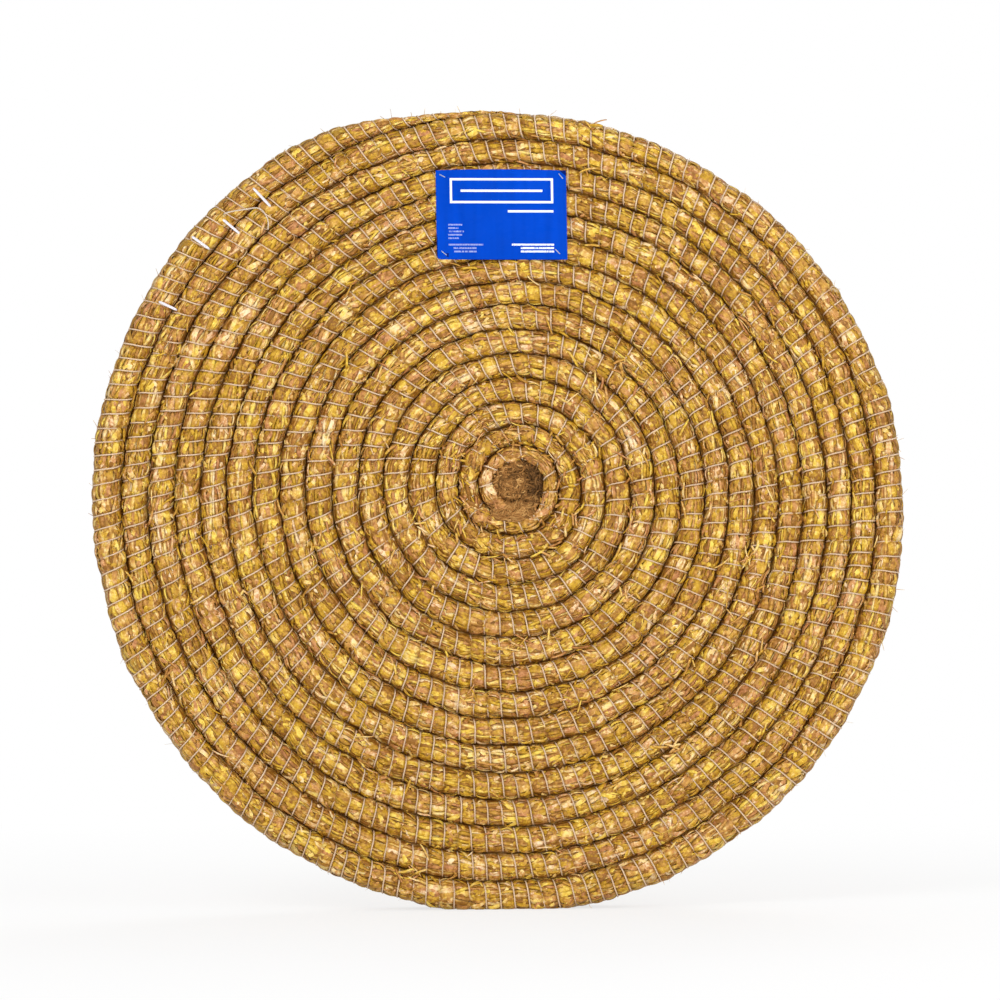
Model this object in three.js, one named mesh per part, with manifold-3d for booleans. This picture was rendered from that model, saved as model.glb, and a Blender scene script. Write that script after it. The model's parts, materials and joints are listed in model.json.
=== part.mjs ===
// A round archery target boss: one long straw rope wound on edge into a flat disc, turn outside turn,
// round a plug of packed straw. A twine lashes each turn to the one inside it, four heavy cord stitches
// anchor the rope's outer end, and a plastic label is stapled to the face.
//
// The boss stands on its rim, as it does on a stand: +Z is up and the face that is shot at looks along -Y.
// Its pieces are built face up, in the spiral's own frame: the face looks along +Z, +Y is its top, and the
// back is at z = 0. Sizes are in millimetres, and angles in degrees, anticlockwise from +X over the face.
import * as THREE from "three";
import { mergeVertices } from "three/addons/utils/BufferGeometryUtils.js";
import Module from "manifold-3d";

const wasm = await Module();
wasm.setup();

// The coil. A phase counts turns of rope from its inner end.
const THICKNESS = 100;
const TURNS = 15.48;
const END_ANGLE = 96;
const ROPE_PITCH = 40;
const START_PITCH = 26;
const START_TURNS = 3;
const START_EDGE = 48;
const LAST_TURN_EXTRA = 6;
const TURN_GAP = 3.4;
const INNER_WIDTH = 24;
const RIM_DRIFT = { x: -17.5, y: -34.5 };
const DRIFT_POWER = 1.6;
const RIM_RADIUS = 640;
const STEPS_PER_TURN = 30;

// The rim's lowest side, between these two angles, is cut flat to stand on.
const FOOT_ANGLES = [264, 276];
const FOOT_CUT = 0.5;

// The rope's section: an upright octagon, with a flat crown between two slopes at the face and the back.
const CROWN_DEPTH = 12;
const CROWN_SLOPE = 0.27;

// The rope's outer end thins out over its last stretch, and is bound tighter over a longer one.
const TAPER_TURNS = 0.055;
const TIP_WIDTH = 10;
const BOUND_TURNS = 0.105;
const BOUND_INSET = 4.4;
const TIP_INSET = 14;

// The twine, the heavy cord and the clearance round each.
const TWINE_DIAMETER = 2.2;
const CORD_DIAMETER = 4.4;
const CLEARANCE = 0.35;
const STITCH_PITCH = 22.9;
const TWINE_SIDES = 5;
const CORD_SIDES = 8;

// The label and its staples, measured from the label's middle.
const LABEL = { width: 210, height: 141, thickness: 0.6, x: -21.3, y: 425.8, turned: -0.5 };
const STAPLE = { crown: 10.6, leg: 8, wireWidth: 1.3, wireDepth: 0.6 };
const STAPLE_PLACES = [
  { name: "staple_top_left", x: -94, y: 61, turned: -27 },
  { name: "staple_top_right", x: 93, y: 62, turned: -50 },
  { name: "staple_bottom_left", x: -90, y: -61, turned: -37 },
  { name: "staple_bottom_right", x: 89, y: -57, turned: -45 },
];

// The anchor stitches: how far each reaches inside and outside the groove under the rope's last turn.
const ANCHORS = [
  { name: "anchor_stitch_1", angle: 128.2, inside: 16, outside: 24 },
  { name: "anchor_stitch_2", angle: 134.4, inside: 15, outside: 21 },
  { name: "anchor_stitch_3", angle: 139.0, inside: -5, outside: 38 },
  { name: "anchor_stitch_4", angle: 149.3, inside: 8, outside: 22 },
];
const ANCHOR_LEG = 24;

const MATERIALS = {
  straw: new THREE.MeshStandardMaterial({ color: 0xc6963a, roughness: 0.75, metalness: 0 }),
  core: new THREE.MeshStandardMaterial({ color: 0x7a5430, roughness: 0.9, metalness: 0 }),
  twine: new THREE.MeshStandardMaterial({ color: 0xd9cdc4, roughness: 0.55, metalness: 0 }),
  cord: new THREE.MeshStandardMaterial({ color: 0xf1eef2, roughness: 0.5, metalness: 0 }),
  label: new THREE.MeshStandardMaterial({ color: 0x0a4fd8, roughness: 0.35, metalness: 0 }),
  steel: new THREE.MeshStandardMaterial({ color: 0xb9bcc2, roughness: 0.35, metalness: 1 }),
};

const radians = THREE.MathUtils.degToRad;
const smooth = (x, from, to) => THREE.MathUtils.smoothstep(x, from, to);
const angleOf = (phase) => END_ANGLE + 360 * (TURNS - phase);
const phaseAt = (angle, turnsIn) => TURNS - turnsIn - (angle - END_ANGLE) / 360;

// Radius of a turn's outer edge. The first turns are thinner, and the last one is thicker.
function outerEdge(phase) {
  const young = 1 - Math.min(phase, START_TURNS) / START_TURNS;
  const thinner = ((ROPE_PITCH - START_PITCH) * START_TURNS * (1 - young ** 3)) / 3;
  const thicker = LAST_TURN_EXTRA * smooth(phase, TURNS - 1.25, TURNS - 0.95);
  return START_EDGE + ROPE_PITCH * phase - thinner + thicker;
}

// Radius of a turn's inner edge: the gap outside the turn within, or the plug's side on the first turn.
function innerEdge(phase) {
  if (phase >= 1) return outerEdge(phase - 1) + TURN_GAP;
  const grown = outerEdge(1) - outerEdge(0) - TURN_GAP;
  return outerEdge(phase) - THREE.MathUtils.lerp(INNER_WIDTH, grown, phase);
}

// The turns' middles drift away from the spiral's own middle, more and more towards the rim.
function place(radius, angle, z) {
  const drift = (radius / RIM_RADIUS) ** DRIFT_POWER;
  return new THREE.Vector3(
    radius * Math.cos(radians(angle)) + RIM_DRIFT.x * drift,
    radius * Math.sin(radians(angle)) + RIM_DRIFT.y * drift,
    z,
  );
}

// The rope's eight corners at a phase, as radius and height, anticlockwise in the section.
function ropeSection(phase) {
  const left = TURNS - phase;
  const thinning = 1 - smooth(left, 0, TAPER_TURNS);
  const inner = innerEdge(phase);
  const full = outerEdge(phase) - inner;
  const outer = inner + THREE.MathUtils.lerp(full, TIP_WIDTH, thinning);
  const inset = left > BOUND_TURNS ? 0 : THREE.MathUtils.lerp(BOUND_INSET, TIP_INSET, thinning);
  const [low, high] = [inset, THICKNESS - inset];
  const slope = CROWN_SLOPE * (outer - inner);
  return [
    [inner, high - CROWN_DEPTH],
    [inner, low + CROWN_DEPTH],
    [inner + slope, low],
    [outer - slope, low],
    [outer, low + CROWN_DEPTH],
    [outer, high - CROWN_DEPTH],
    [outer - slope, high],
    [inner + slope, high],
  ];
}

// Phases of the rope's stations: its two ends, and the same azimuths on every turn between them.
function stationPhases() {
  const step = 1 / STEPS_PER_TURN;
  const aligned = (angleOf(0) / 360) % step;
  const phases = [0];
  for (let phase = aligned; phase < TURNS - step / 4; phase += step) {
    if (phase > step / 4) phases.push(phase);
  }
  phases.push(TURNS);
  return phases;
}

const STATIONS = stationPhases().map((phase) => ({
  phase,
  corners: ropeSection(phase).map(([radius, z]) => place(radius, angleOf(phase), z)),
}));

// The rope's corners at any phase, on the straight run between the two stations beside it.
function cornersAt(phase) {
  const after = Math.max(1, STATIONS.findIndex((s) => s.phase >= phase));
  const [a, b] = [STATIONS[after - 1], STATIONS[after]];
  const share = (phase - a.phase) / (b.phase - a.phase);
  return a.corners.map((corner, i) => corner.clone().lerp(b.corners[i], share));
}

// A closed tube through rings of points, each ring anticlockwise as seen looking back from the tube's end.
function tubeThrough(rings) {
  const sides = rings[0].length;
  const positions = [];
  const index = [];
  const middle = (ring) => ring.reduce((sum, p) => sum.add(p), new THREE.Vector3()).divideScalar(sides);
  for (const ring of rings) for (const p of ring) positions.push(p.x, p.y, p.z);
  for (const ring of [rings[0], rings.at(-1)]) positions.push(...middle(ring).toArray());
  const [startCap, endCap] = [rings.length * sides, rings.length * sides + 1];
  const last = (rings.length - 1) * sides;
  for (let k = 0; k < sides; k++) {
    const next = (k + 1) % sides;
    for (let i = 0; i < rings.length - 1; i++) {
      const [a, b] = [i * sides + k, i * sides + next];
      index.push(a, b, a + sides, b, b + sides, a + sides);
    }
    index.push(startCap, next, k, endCap, last + k, last + next);
  }
  const geometry = new THREE.BufferGeometry();
  geometry.setAttribute("position", new THREE.Float32BufferAttribute(positions, 3));
  geometry.setIndex(index);
  return geometry;
}

// A round tube along a line of points, mitred at each one.
function roundTube(points, diameter, sides) {
  const rings = [];
  let across = null;
  points.forEach((point, i) => {
    const before = points[Math.max(i - 1, 0)];
    const after = points[Math.min(i + 1, points.length - 1)];
    const back = point.clone().sub(before).normalize();
    const ahead = after.clone().sub(point).normalize();
    const along = back.clone().add(ahead).normalize();
    if (!across) {
      const up = Math.abs(along.z) > 0.8 ? new THREE.Vector3(1, 0, 0) : new THREE.Vector3(0, 0, 1);
      across = up.cross(along);
    }
    across = across.clone().addScaledVector(along, -across.dot(along)).normalize();
    const beside = along.clone().cross(across);
    const turn = back.clone().cross(ahead);
    const bend = turn.length() > 1e-6 ? turn.clone().cross(along).normalize() : null;
    const widen = bend ? 1 / Math.max(0.5, Math.cos(back.angleTo(ahead) / 2)) : 1;
    rings.push(
      Array.from({ length: sides }, (_, k) => {
        const a = (2 * Math.PI * (k + 0.5)) / sides;
        const spoke = across.clone().multiplyScalar(Math.cos(a)).addScaledVector(beside, Math.sin(a));
        if (bend) spoke.addScaledVector(bend, (widen - 1) * spoke.dot(bend));
        return spoke.multiplyScalar(diameter / 2).add(point);
      }),
    );
  });
  return tubeThrough(rings);
}

// Manifold solids, for the cuts.
function solidOf(geometry) {
  const bare = new THREE.BufferGeometry();
  const loose = geometry.index ? geometry.toNonIndexed() : geometry;
  bare.setAttribute("position", loose.getAttribute("position"));
  const merged = mergeVertices(bare, 1e-4);
  const mesh = new wasm.Mesh({
    numProp: 3,
    vertProperties: merged.attributes.position.array,
    triVerts: new Uint32Array(merged.index.array),
  });
  return new wasm.Manifold(mesh);
}

function geometryOf(solid) {
  const mesh = solid.getMesh();
  const geometry = new THREE.BufferGeometry();
  geometry.setAttribute("position", new THREE.Float32BufferAttribute(mesh.vertProperties, mesh.numProp));
  geometry.setIndex(Array.from(mesh.triVerts));
  return geometry;
}

// The rope, wound from its start at the plug to its thin outer end.
function strawCoil() {
  return tubeThrough(STATIONS.map((s) => s.corners));
}

// The plug of packed straw fills the hole inside the first turn and goes round the rope's start, with a
// low dome at the face and the back.
function corePlug() {
  const sides = 28;
  const clear = 1.5;
  const clearAngle = 3;
  const [bottom, top, dome] = [4, THICKNESS - 6, 4];
  const outline = (shrink, z) => {
    const points = Array.from({ length: sides }, (_, i) => {
      const phase = 1 - i / (sides - 1);
      const angle = angleOf(phase) + clearAngle * (2 * phase - 1);
      return place((innerEdge(phase) - clear) * shrink, angle, z);
    });
    return [...points, place((innerEdge(0) - clear) * shrink, angleOf(1) + clearAngle, z)];
  };
  const rings = [
    outline(0.7, bottom),
    outline(1, bottom + dome),
    outline(1, top - dome),
    outline(0.7, top),
  ];
  return tubeThrough(rings);
}

// The twine's last wraps round the rope's thin end. Each goes over the crown, down the outer side, back
// under the rope and up through the gap between the two turns.
function bindingTwine() {
  const wraps = 15;
  const first = phaseAt(END_ANGLE + 1.2, 0);
  const step = STITCH_PITCH / (2 * Math.PI * RIM_RADIUS);
  const corners = 8;
  const loose = 1.5;
  const points = [];
  for (let i = 0; i <= wraps * corners; i++) {
    const phase = first - (step * i) / corners;
    const ring = cornersAt(phase);
    const k = (7 + corners * Math.ceil(i / corners) - i) % corners;
    const [before, here, after] = [ring[(k + 7) % 8], ring[k], ring[(k + 1) % 8]];
    const inward = before.clone().sub(here).normalize().add(after.clone().sub(here).normalize());
    const half = before.clone().sub(here).angleTo(after.clone().sub(here)) / 2;
    const standOff = k < 2 ? TURN_GAP / 2 : TWINE_DIAMETER / 2 + loose;
    points.push(here.clone().addScaledVector(inward.normalize(), -standOff / Math.sin(half)));
  }
  return { geometry: roundTube(points, TWINE_DIAMETER, TWINE_SIDES), points };
}

// A heavy stitch over the face, along the radius, with both ends pushed down into the straw.
function anchorPoints({ angle, inside, outside }) {
  const groove = outerEdge(phaseAt(angle, 1)) + TURN_GAP / 2;
  const rest = THICKNESS + CORD_DIAMETER / 2 + CLEARANCE;
  const [near, far] = [groove - inside, groove + outside];
  const bend = CORD_DIAMETER;
  return [
    place(far, angle, THICKNESS - ANCHOR_LEG),
    place(far, angle, rest - bend),
    place(far - bend, angle, rest),
    place(near + bend, angle, rest),
    place(near, angle, rest - bend),
    place(near, angle, THICKNESS - ANCHOR_LEG),
  ];
}

// The twine's loose tail: it leaves the straw beside the second anchor stitch, lies across the last two
// turns and ends in a crook.
const TAIL_ROUTE = [
  [-459.5, 427.0, -9],
  [-459.0, 427.4, -3],
  [-457.0, 428.4, 0],
  [-451.5, 430.2, 0],
  [-445.0, 431.6, 0],
  [-438.0, 432.8, 0],
  [-431.0, 433.8, 0],
  [-424.0, 434.8, 0],
  [-417.0, 436.0, 0],
  [-410.0, 436.9, 0],
  [-403.5, 436.2, 0],
  [-398.2, 432.6, 0],
  [-394.2, 427.4, 0],
  [-391.0, 421.6, 0],
  [-389.2, 415.4, 0],
  [-389.0, 409.0, 0],
  [-389.6, 402.6, 0],
];

function tailPoints() {
  const rest = THICKNESS + CLEARANCE + TWINE_DIAMETER / 2;
  return TAIL_ROUTE.map(([x, y, lift]) => new THREE.Vector3(x, y, rest + lift));
}

// A staple's U, about the middle of its crown, with the crown along X and its underside at z = 0.
function stapleBlocks(spare) {
  const [w, d] = [STAPLE.wireWidth + 2 * spare, STAPLE.wireDepth];
  const half = STAPLE.crown / 2;
  const u = new THREE.Shape([
    new THREE.Vector2(-half - spare, d),
    new THREE.Vector2(-half - spare, -STAPLE.leg - spare),
    new THREE.Vector2(-half + d + spare, -STAPLE.leg - spare),
    new THREE.Vector2(-half + d + spare, 0),
    new THREE.Vector2(half - d - spare, 0),
    new THREE.Vector2(half - d - spare, -STAPLE.leg - spare),
    new THREE.Vector2(half + spare, -STAPLE.leg - spare),
    new THREE.Vector2(half + spare, d),
  ]);
  const geometry = new THREE.ExtrudeGeometry(u, { depth: w, bevelEnabled: false });
  geometry.translate(0, 0, -w / 2);
  geometry.rotateX(Math.PI / 2);
  return geometry;
}

function labelSheet() {
  const corner = 3;
  const [w, h] = [LABEL.width / 2, LABEL.height / 2];
  const outline = new THREE.Shape();
  outline.moveTo(-w + corner, -h);
  outline.lineTo(w - corner, -h).quadraticCurveTo(w, -h, w, -h + corner);
  outline.lineTo(w, h - corner).quadraticCurveTo(w, h, w - corner, h);
  outline.lineTo(-w + corner, h).quadraticCurveTo(-w, h, -w, h - corner);
  outline.lineTo(-w, -h + corner).quadraticCurveTo(-w, -h, -w + corner, -h);
  return new THREE.ExtrudeGeometry(outline, { depth: LABEL.thickness, bevelEnabled: false, curveSegments: 3 });
}

// Places on the label, carried into the coil's own frame.
const labelBottom = THICKNESS + CLEARANCE;
const onLabel = new THREE.Matrix4()
  .makeRotationZ(radians(LABEL.turned))
  .setPosition(LABEL.x, LABEL.y, labelBottom);

function stapleMatrix(at) {
  const turn = new THREE.Matrix4().makeRotationZ(radians(at.turned));
  turn.setPosition(at.x, at.y, LABEL.thickness + CLEARANCE);
  return onLabel.clone().multiply(turn);
}

// The ground under the rim's lowest side, as a block to cut with, and how far that side leans.
const footEnds = FOOT_ANGLES.map((angle) => place(outerEdge(phaseAt(angle, 0)), angle, 0));
const footRun = footEnds[1].clone().sub(footEnds[0]);
const footLean = Math.atan2(footRun.y, footRun.x);

function ground() {
  const depth = THICKNESS;
  const block = new THREE.BoxGeometry(2 * RIM_RADIUS, depth, 2 * THICKNESS);
  block.translate(0, FOOT_CUT - depth / 2, THICKNESS / 2);
  block.rotateZ(footLean);
  block.translate(footEnds[0].x, footEnds[0].y, 0);
  return block;
}

// The least gap between one turn of the rope and the next, measured from points along each turn's outer
// side to the straight runs of the inner side outside it.
function leastTurnGap() {
  const flat = (corner) => new THREE.Vector2(corner.x, corner.y);
  const runs = STATIONS.slice(1).map((s, i) => ({
    phase: s.phase,
    inner: [flat(STATIONS[i].corners[0]), flat(s.corners[0])],
    outer: [flat(STATIONS[i].corners[4]), flat(s.corners[4])],
  }));
  let least = Infinity;
  for (const run of runs) {
    for (const other of runs.filter((r) => Math.abs(r.phase - run.phase - 1) < 0.1)) {
      const [a, b] = other.inner;
      const along = b.clone().sub(a);
      for (const share of [0, 0.25, 0.5, 0.75, 1]) {
        const point = run.outer[0].clone().lerp(run.outer[1], share);
        const t = THREE.MathUtils.clamp(point.clone().sub(a).dot(along) / along.lengthSq(), 0, 1);
        least = Math.min(least, point.distanceTo(a.clone().addScaledVector(along, t)));
      }
    }
  }
  return least;
}

function leastWrapGap(points) {
  const perWrap = 8;
  let least = Infinity;
  points.forEach((p, i) =>
    points.slice(i + perWrap - 2).forEach((q) => {
      least = Math.min(least, p.distanceTo(q) - TWINE_DIAMETER);
    }),
  );
  return least;
}

function node(name, geometry, material) {
  const mesh = new THREE.Mesh(geometry, material);
  mesh.name = name;
  return mesh;
}

// Every piece, in the spiral's own frame.
const boss = new THREE.Group();
const twine = bindingTwine();
let coil = solidOf(strawCoil()).subtract(solidOf(ground()));
let label = solidOf(labelSheet().applyMatrix4(onLabel));

for (const anchor of ANCHORS) {
  const points = anchorPoints(anchor);
  const deeper = points.map((p) => p.clone());
  for (const end of [deeper[0], deeper.at(-1)]) end.z -= CLEARANCE;
  coil = coil.subtract(solidOf(roundTube(deeper, CORD_DIAMETER + 2 * CLEARANCE, CORD_SIDES)));
  boss.add(node(anchor.name, roundTube(points, CORD_DIAMETER, CORD_SIDES), MATERIALS.cord));
}

for (const at of STAPLE_PLACES) {
  const room = solidOf(stapleBlocks(CLEARANCE).applyMatrix4(stapleMatrix(at)));
  coil = coil.subtract(room);
  label = label.subtract(room);
  const staple = node(at.name, stapleBlocks(0), MATERIALS.steel);
  staple.applyMatrix4(stapleMatrix(at));
  boss.add(staple);
}

const tail = tailPoints();
const tailRoom = roundTube(tail.slice(0, 4), TWINE_DIAMETER + 2 * CLEARANCE, CORD_SIDES);
coil = coil.subtract(solidOf(tailRoom));

boss.add(node("straw_coil", geometryOf(coil), MATERIALS.straw));
boss.add(node("core_plug", corePlug(), MATERIALS.core));
boss.add(node("binding_twine", twine.geometry, MATERIALS.twine));
boss.add(node("twine_tail", roundTube(tail, TWINE_DIAMETER, CORD_SIDES), MATERIALS.twine));
boss.add(node("label_sheet", geometryOf(label), MATERIALS.label));

console.log(`least gap between turns of the rope ${leastTurnGap().toFixed(2)} mm`);
console.log(`least gap between wraps of the twine ${leastWrapGap(twine.points).toFixed(2)} mm`);

// The boss turns until its foot is level, stands up with its face along -Y, and is set over the origin by
// the box of all that doesn't hang loose.
boss.rotation.z = -footLean;
const part = new THREE.Group();
const upright = new THREE.Group();
upright.rotation.x = Math.PI / 2;
upright.add(boss);
part.add(upright);
part.updateMatrixWorld(true);
const box = new THREE.Box3();
for (const piece of boss.children) {
  if (piece.name !== "twine_tail") box.expandByObject(piece, true);
}
const middle = box.getCenter(new THREE.Vector3());
upright.position.set(-middle.x, -middle.y, -box.min.z);
console.log(`size ${box.getSize(new THREE.Vector3()).toArray().map((v) => v.toFixed(2))}`);
console.log(`the spiral's middle is at ${upright.position.toArray().map((v) => v.toFixed(3))}`);
console.log(`the foot leans ${THREE.MathUtils.radToDeg(footLean).toFixed(4)} degrees`);

export default part;
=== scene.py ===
# A round straw archery boss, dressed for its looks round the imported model. One rope of straw is wound
# on edge into a disc and lashed turn to turn with twine. This script makes the straws, the twine, the
# plug, the label and the stage.
#
# Lengths are in metres. "Arc" is a length along the rope from its inner end, "phase" counts its turns,
# and "around" is an angle round the rope's section: 0 at its outer side, a quarter turn at the face and
# half a turn at its inner side. A "level" is a height over the back of the boss, towards its face.
import json
import math

import bpy
import numpy as np
from bpy.props import FloatProperty, FloatVectorProperty, IntProperty, PointerProperty
from mathutils import Matrix, Vector

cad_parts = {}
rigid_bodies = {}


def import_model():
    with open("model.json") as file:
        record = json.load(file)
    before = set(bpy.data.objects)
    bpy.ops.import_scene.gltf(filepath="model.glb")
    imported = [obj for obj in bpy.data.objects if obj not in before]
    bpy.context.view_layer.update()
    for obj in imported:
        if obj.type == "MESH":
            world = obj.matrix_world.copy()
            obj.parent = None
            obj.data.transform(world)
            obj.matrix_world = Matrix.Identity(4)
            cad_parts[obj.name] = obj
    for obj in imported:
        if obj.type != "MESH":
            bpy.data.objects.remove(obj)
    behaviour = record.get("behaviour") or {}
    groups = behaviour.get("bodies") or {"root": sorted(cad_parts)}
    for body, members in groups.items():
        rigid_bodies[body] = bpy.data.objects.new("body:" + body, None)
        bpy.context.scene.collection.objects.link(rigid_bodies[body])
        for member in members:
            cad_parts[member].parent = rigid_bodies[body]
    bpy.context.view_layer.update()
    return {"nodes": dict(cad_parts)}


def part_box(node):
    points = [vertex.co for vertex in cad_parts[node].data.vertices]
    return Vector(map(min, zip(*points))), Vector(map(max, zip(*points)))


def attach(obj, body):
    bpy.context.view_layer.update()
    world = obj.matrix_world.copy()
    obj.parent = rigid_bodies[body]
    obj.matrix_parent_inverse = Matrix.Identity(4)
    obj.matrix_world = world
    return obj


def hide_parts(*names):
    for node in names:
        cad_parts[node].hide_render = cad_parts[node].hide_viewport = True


bl_info = {
    "name": "Straw Archery Boss",
    "version": (1, 0, 0),
    "blender": (4, 5, 0),
    "location": "View3D > Sidebar > Boss",
    "description": "Builds a coiled straw boss with its straws, twine, plug, label and stage",
    "category": "Add Mesh",
}

for leftover in list(bpy.data.objects):
    bpy.data.objects.remove(leftover)
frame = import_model()

TAU = 2 * math.pi
BODY = "root"

# The winding of the rope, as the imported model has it.
THICKNESS = 0.100
TURNS = 15.48
END_ANGLE = math.radians(96)
ROPE_PITCH = 0.040
START_PITCH = 0.026
START_TURNS = 3
START_EDGE = 0.048
LAST_TURN_EXTRA = 0.006
LAST_TURN_RISE = (1.25, 0.95)
TURN_GAP = 0.0034
INNER_WIDTH = 0.024
RIM_DRIFT = (-0.0175, -0.0345)
DRIFT_POWER = 1.6
RIM_RADIUS = 0.640
TAPER_TURNS = 0.055
BARED_TURNS = (1.008, 0.996)
TIP_WIDTH = 0.010
WISP_TURNS = 0.030
WISP_WIDTH = 0.0032
BOUND_TURNS = 0.105
BOUND_INSET = 0.0044
TIP_INSET = 0.014
END_OVERLAP = 0.0030
STITCH_PITCH = 0.0229
FIRST_LASHING = 1.6

# Where the spiral's middle stands, and how far its own axes lean from the boss's.
SPIRAL_MIDDLE = (0.027866, 0.670122)
FOOT_LEAN = math.radians(0.6169)
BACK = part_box("straw_coil")[1].y
GROUND_CLEARANCE = 0.0006
TOWARD_VIEWER = np.array([0.0, -1.0, 0.0])

# The rope's skin: how square its section is, how far it stays under the solid's sides, and its bumps.
# Waves are pairs of a wavelength and a shift. Those of the rope are measured along it, in metres.
SQUARENESS = 2.9
CROWN_REST = 0.0036
RIM_REST = 0.0012
CORE_REST = 0.0030
CORE_SIDE = 0.0003
CORE_STEP = 0.0085
CORE_SIDES = 26
PUFF_POWER = 0.5
PUFF_UNEVENNESS = 0.3
RIM_PUFF = 0.30
SIDE_PUFF = 0.9
END_SLACK = 0.7
SHOULDER = 0.0036
SHOULDER_TURNS = 0.060
WANDER = 0.0021
LUMP = 0.0024
LUMP_SLANT = 0.011
EDGE_WAVES = ((0.313, 0.3), (0.171, 1.9), (0.089, 4.1))
LUMP_WAVES = ((0.207, 2.2), (0.097, 5.3), (0.053, 0.7))
PILLOW_WAVES = ((0.067, 0.9), (0.041, 3.8), (0.149, 5.1))
SHADE_WAVES = ((0.83, 0.4), (0.271, 2.9), (0.119, 5.0))
STITCH_WAVES = ((0.411, 1.1), (0.137, 3.4))

# How the lashing twine runs: how it swings, slants and arches along the rope, how far it sinks into the
# straw and how far out it stays on the crowns. These waves are measured in stitches.
STITCH_SWING = 0.14
STITCH_SLANT = 0.52
STITCH_ARCH = 0.085
STITCH_WANDER = 0.0009
SINK = 0.0013
MIDDLE_SINK = 0.0012
REACH = 0.72
REACH_SWING = 0.10
GROOVE_STEP = 0.20
WANDER_WAVES = ((1.37, 0.2), (0.61, 1.3), (2.9, 4.0))
BLEACH_WAVES = ((9.1, 0.4), (3.7, 2.3), (61.0, 4.4))
SINK_WAVES = ((0.37, 0.9), (0.83, 2.7), (2.3, 0.2))
REACH_WAVES = ((83.0, 1.0), (37.0, 4.2), (5.3, 2.0))

# How far the rim stands out or in, in millimetres, at every 15 degrees from the right.
RIM_SHAPE = (
    2.0, 3.2, 2.3, 0.7, -1.6, -0.3, -0.4, -7.0,
    5.6, 7.4, 5.2, 4.1, 1.6, -0.6, -1.4, -1.3,
    -1.2, 0.0, 4.0, 4.7, 5.4, 4.2, 5.1, 3.9,
)

# Spots of the face whose straw is bleached or weathered: right, up and how much paler.
SPOTS = (
    (-0.043, 0.016, 0.8),
    (-0.036, -0.012, 0.5),
    (0.012, 0.044, 0.4),
    (0.044, -0.030, 0.4),
    (-0.300, 0.063, 0.9),
    (0.184, 0.063, 0.8),
    (-0.460, 0.226, 0.7),
    (-0.423, 0.281, 0.9),
    (-0.188, 0.246, 0.9),
    (-0.121, -0.066, 0.6),
    (-0.087, -0.347, 0.8),
    (-0.270, 0.285, 0.5),
    (-0.276, -0.151, 0.6),
    (0.188, -0.071, 0.5),
    (0.292, 0.378, -0.7),
    (0.331, -0.295, -0.6),
    (0.413, -0.311, -0.5),
    (-0.525, 0.244, -0.5),
    (-0.514, -0.358, -0.5),
    (-0.151, -0.607, -0.5),
)
SPOT_REACH = 0.017

# The anchor stitches over the groove under the last turn: angle, reach inside it and reach outside it.
ANCHORS = (
    ("anchor_stitch_1", 128.2, 0.016, 0.024),
    ("anchor_stitch_2", 134.4, 0.015, 0.021),
    ("anchor_stitch_3", 139.0, -0.005, 0.038),
    ("anchor_stitch_4", 149.3, 0.008, 0.022),
)
CORD_DIAMETER = 0.0044
CORD_FLATNESS = 0.72
ANCHOR_LEG = 0.024
CLEARANCE = 0.00035
TWINE_DIAMETER = 0.0022

# The loose tail's route in the spiral's own axes: right, up and height over its place on the crowns.
TAIL_ROUTE = (
    (-0.4595, 0.4270, -0.009),
    (-0.4590, 0.4274, -0.003),
    (-0.4570, 0.4284, 0),
    (-0.4515, 0.4302, 0),
    (-0.4450, 0.4316, 0),
    (-0.4380, 0.4328, 0),
    (-0.4310, 0.4338, 0),
    (-0.4240, 0.4348, 0),
    (-0.4170, 0.4360, 0),
    (-0.4100, 0.4369, 0),
    (-0.4035, 0.4362, 0),
    (-0.3982, 0.4326, 0),
    (-0.3942, 0.4274, 0),
    (-0.3910, 0.4216, 0),
    (-0.3892, 0.4154, 0),
    (-0.3890, 0.4090, 0),
    (-0.3896, 0.4026, 0),
)

# The label, and the staples that hold it, measured from its middle.
LABEL_SIZE = (0.2058, 0.1406)
LABEL_MIDDLE = (-0.0213, 0.4258)
LABEL_TURN = math.radians(-0.5)
LABEL_PRESS = 0.0024
PRESS_MARGIN = 0.004
STAPLES = {
    "staple_top_left": (-0.094, 0.061),
    "staple_top_right": (0.093, 0.062),
    "staple_bottom_left": (-0.090, -0.061),
    "staple_bottom_right": (0.089, -0.057),
}

# What is printed on the label: the left, bottom, right and top of each bar, and the rows of small type.
PANEL = (-0.081, 0.0185, 0.082, 0.058)
PANEL_INSIDE = (-0.0774, 0.0221, 0.0784, 0.0544)
BARS = ((-0.064, 0.0364, 0.065, 0.0400), (0.010, 0.0040, 0.082, 0.0076))
SIDE_ROWS_LEFT = -0.0843
SIDE_ROWS_RIGHT = (-0.0621, -0.0684, -0.0598, -0.0627, -0.0675)
SIDE_ROWS_BOTTOM = -0.0167
SIDE_ROW_PITCH = 0.0053
SIDE_ROW_HEIGHT = 0.0024
FOOT_ROWS = 3
FOOT_ROWS_BOTTOM = -0.0482
FOOT_ROW_PITCH = 0.0054
FOOT_ROW_HEIGHT = 0.0026
BOLD_ROW_HEIGHT = 0.0030
BOLD_ROWS_RIGHT = 0.0822
FOOT_ROW_ENDS = ((-0.0841, -0.0296, 0.0157), (-0.0764, -0.0401, 0.0297))

# Where the film takes its underside's darker navy: past a slant at one corner, by its left edge, by a
# staple.
DARK_CORNER_SLANT = 1.15
DARK_CORNER_PLACE = 0.1722
DARK_EDGE_END = (-0.1010, -0.028)
DARK_PATCH = (-0.0875, -0.0665, -0.0840, -0.0600)

# The photograph's frame at the face of the boss.
METRES_PER_PIXEL = 0.001577
FRAME_PIXELS = 1000
SPIRAL_MIDDLE_PIXEL = (515, 485)

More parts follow.
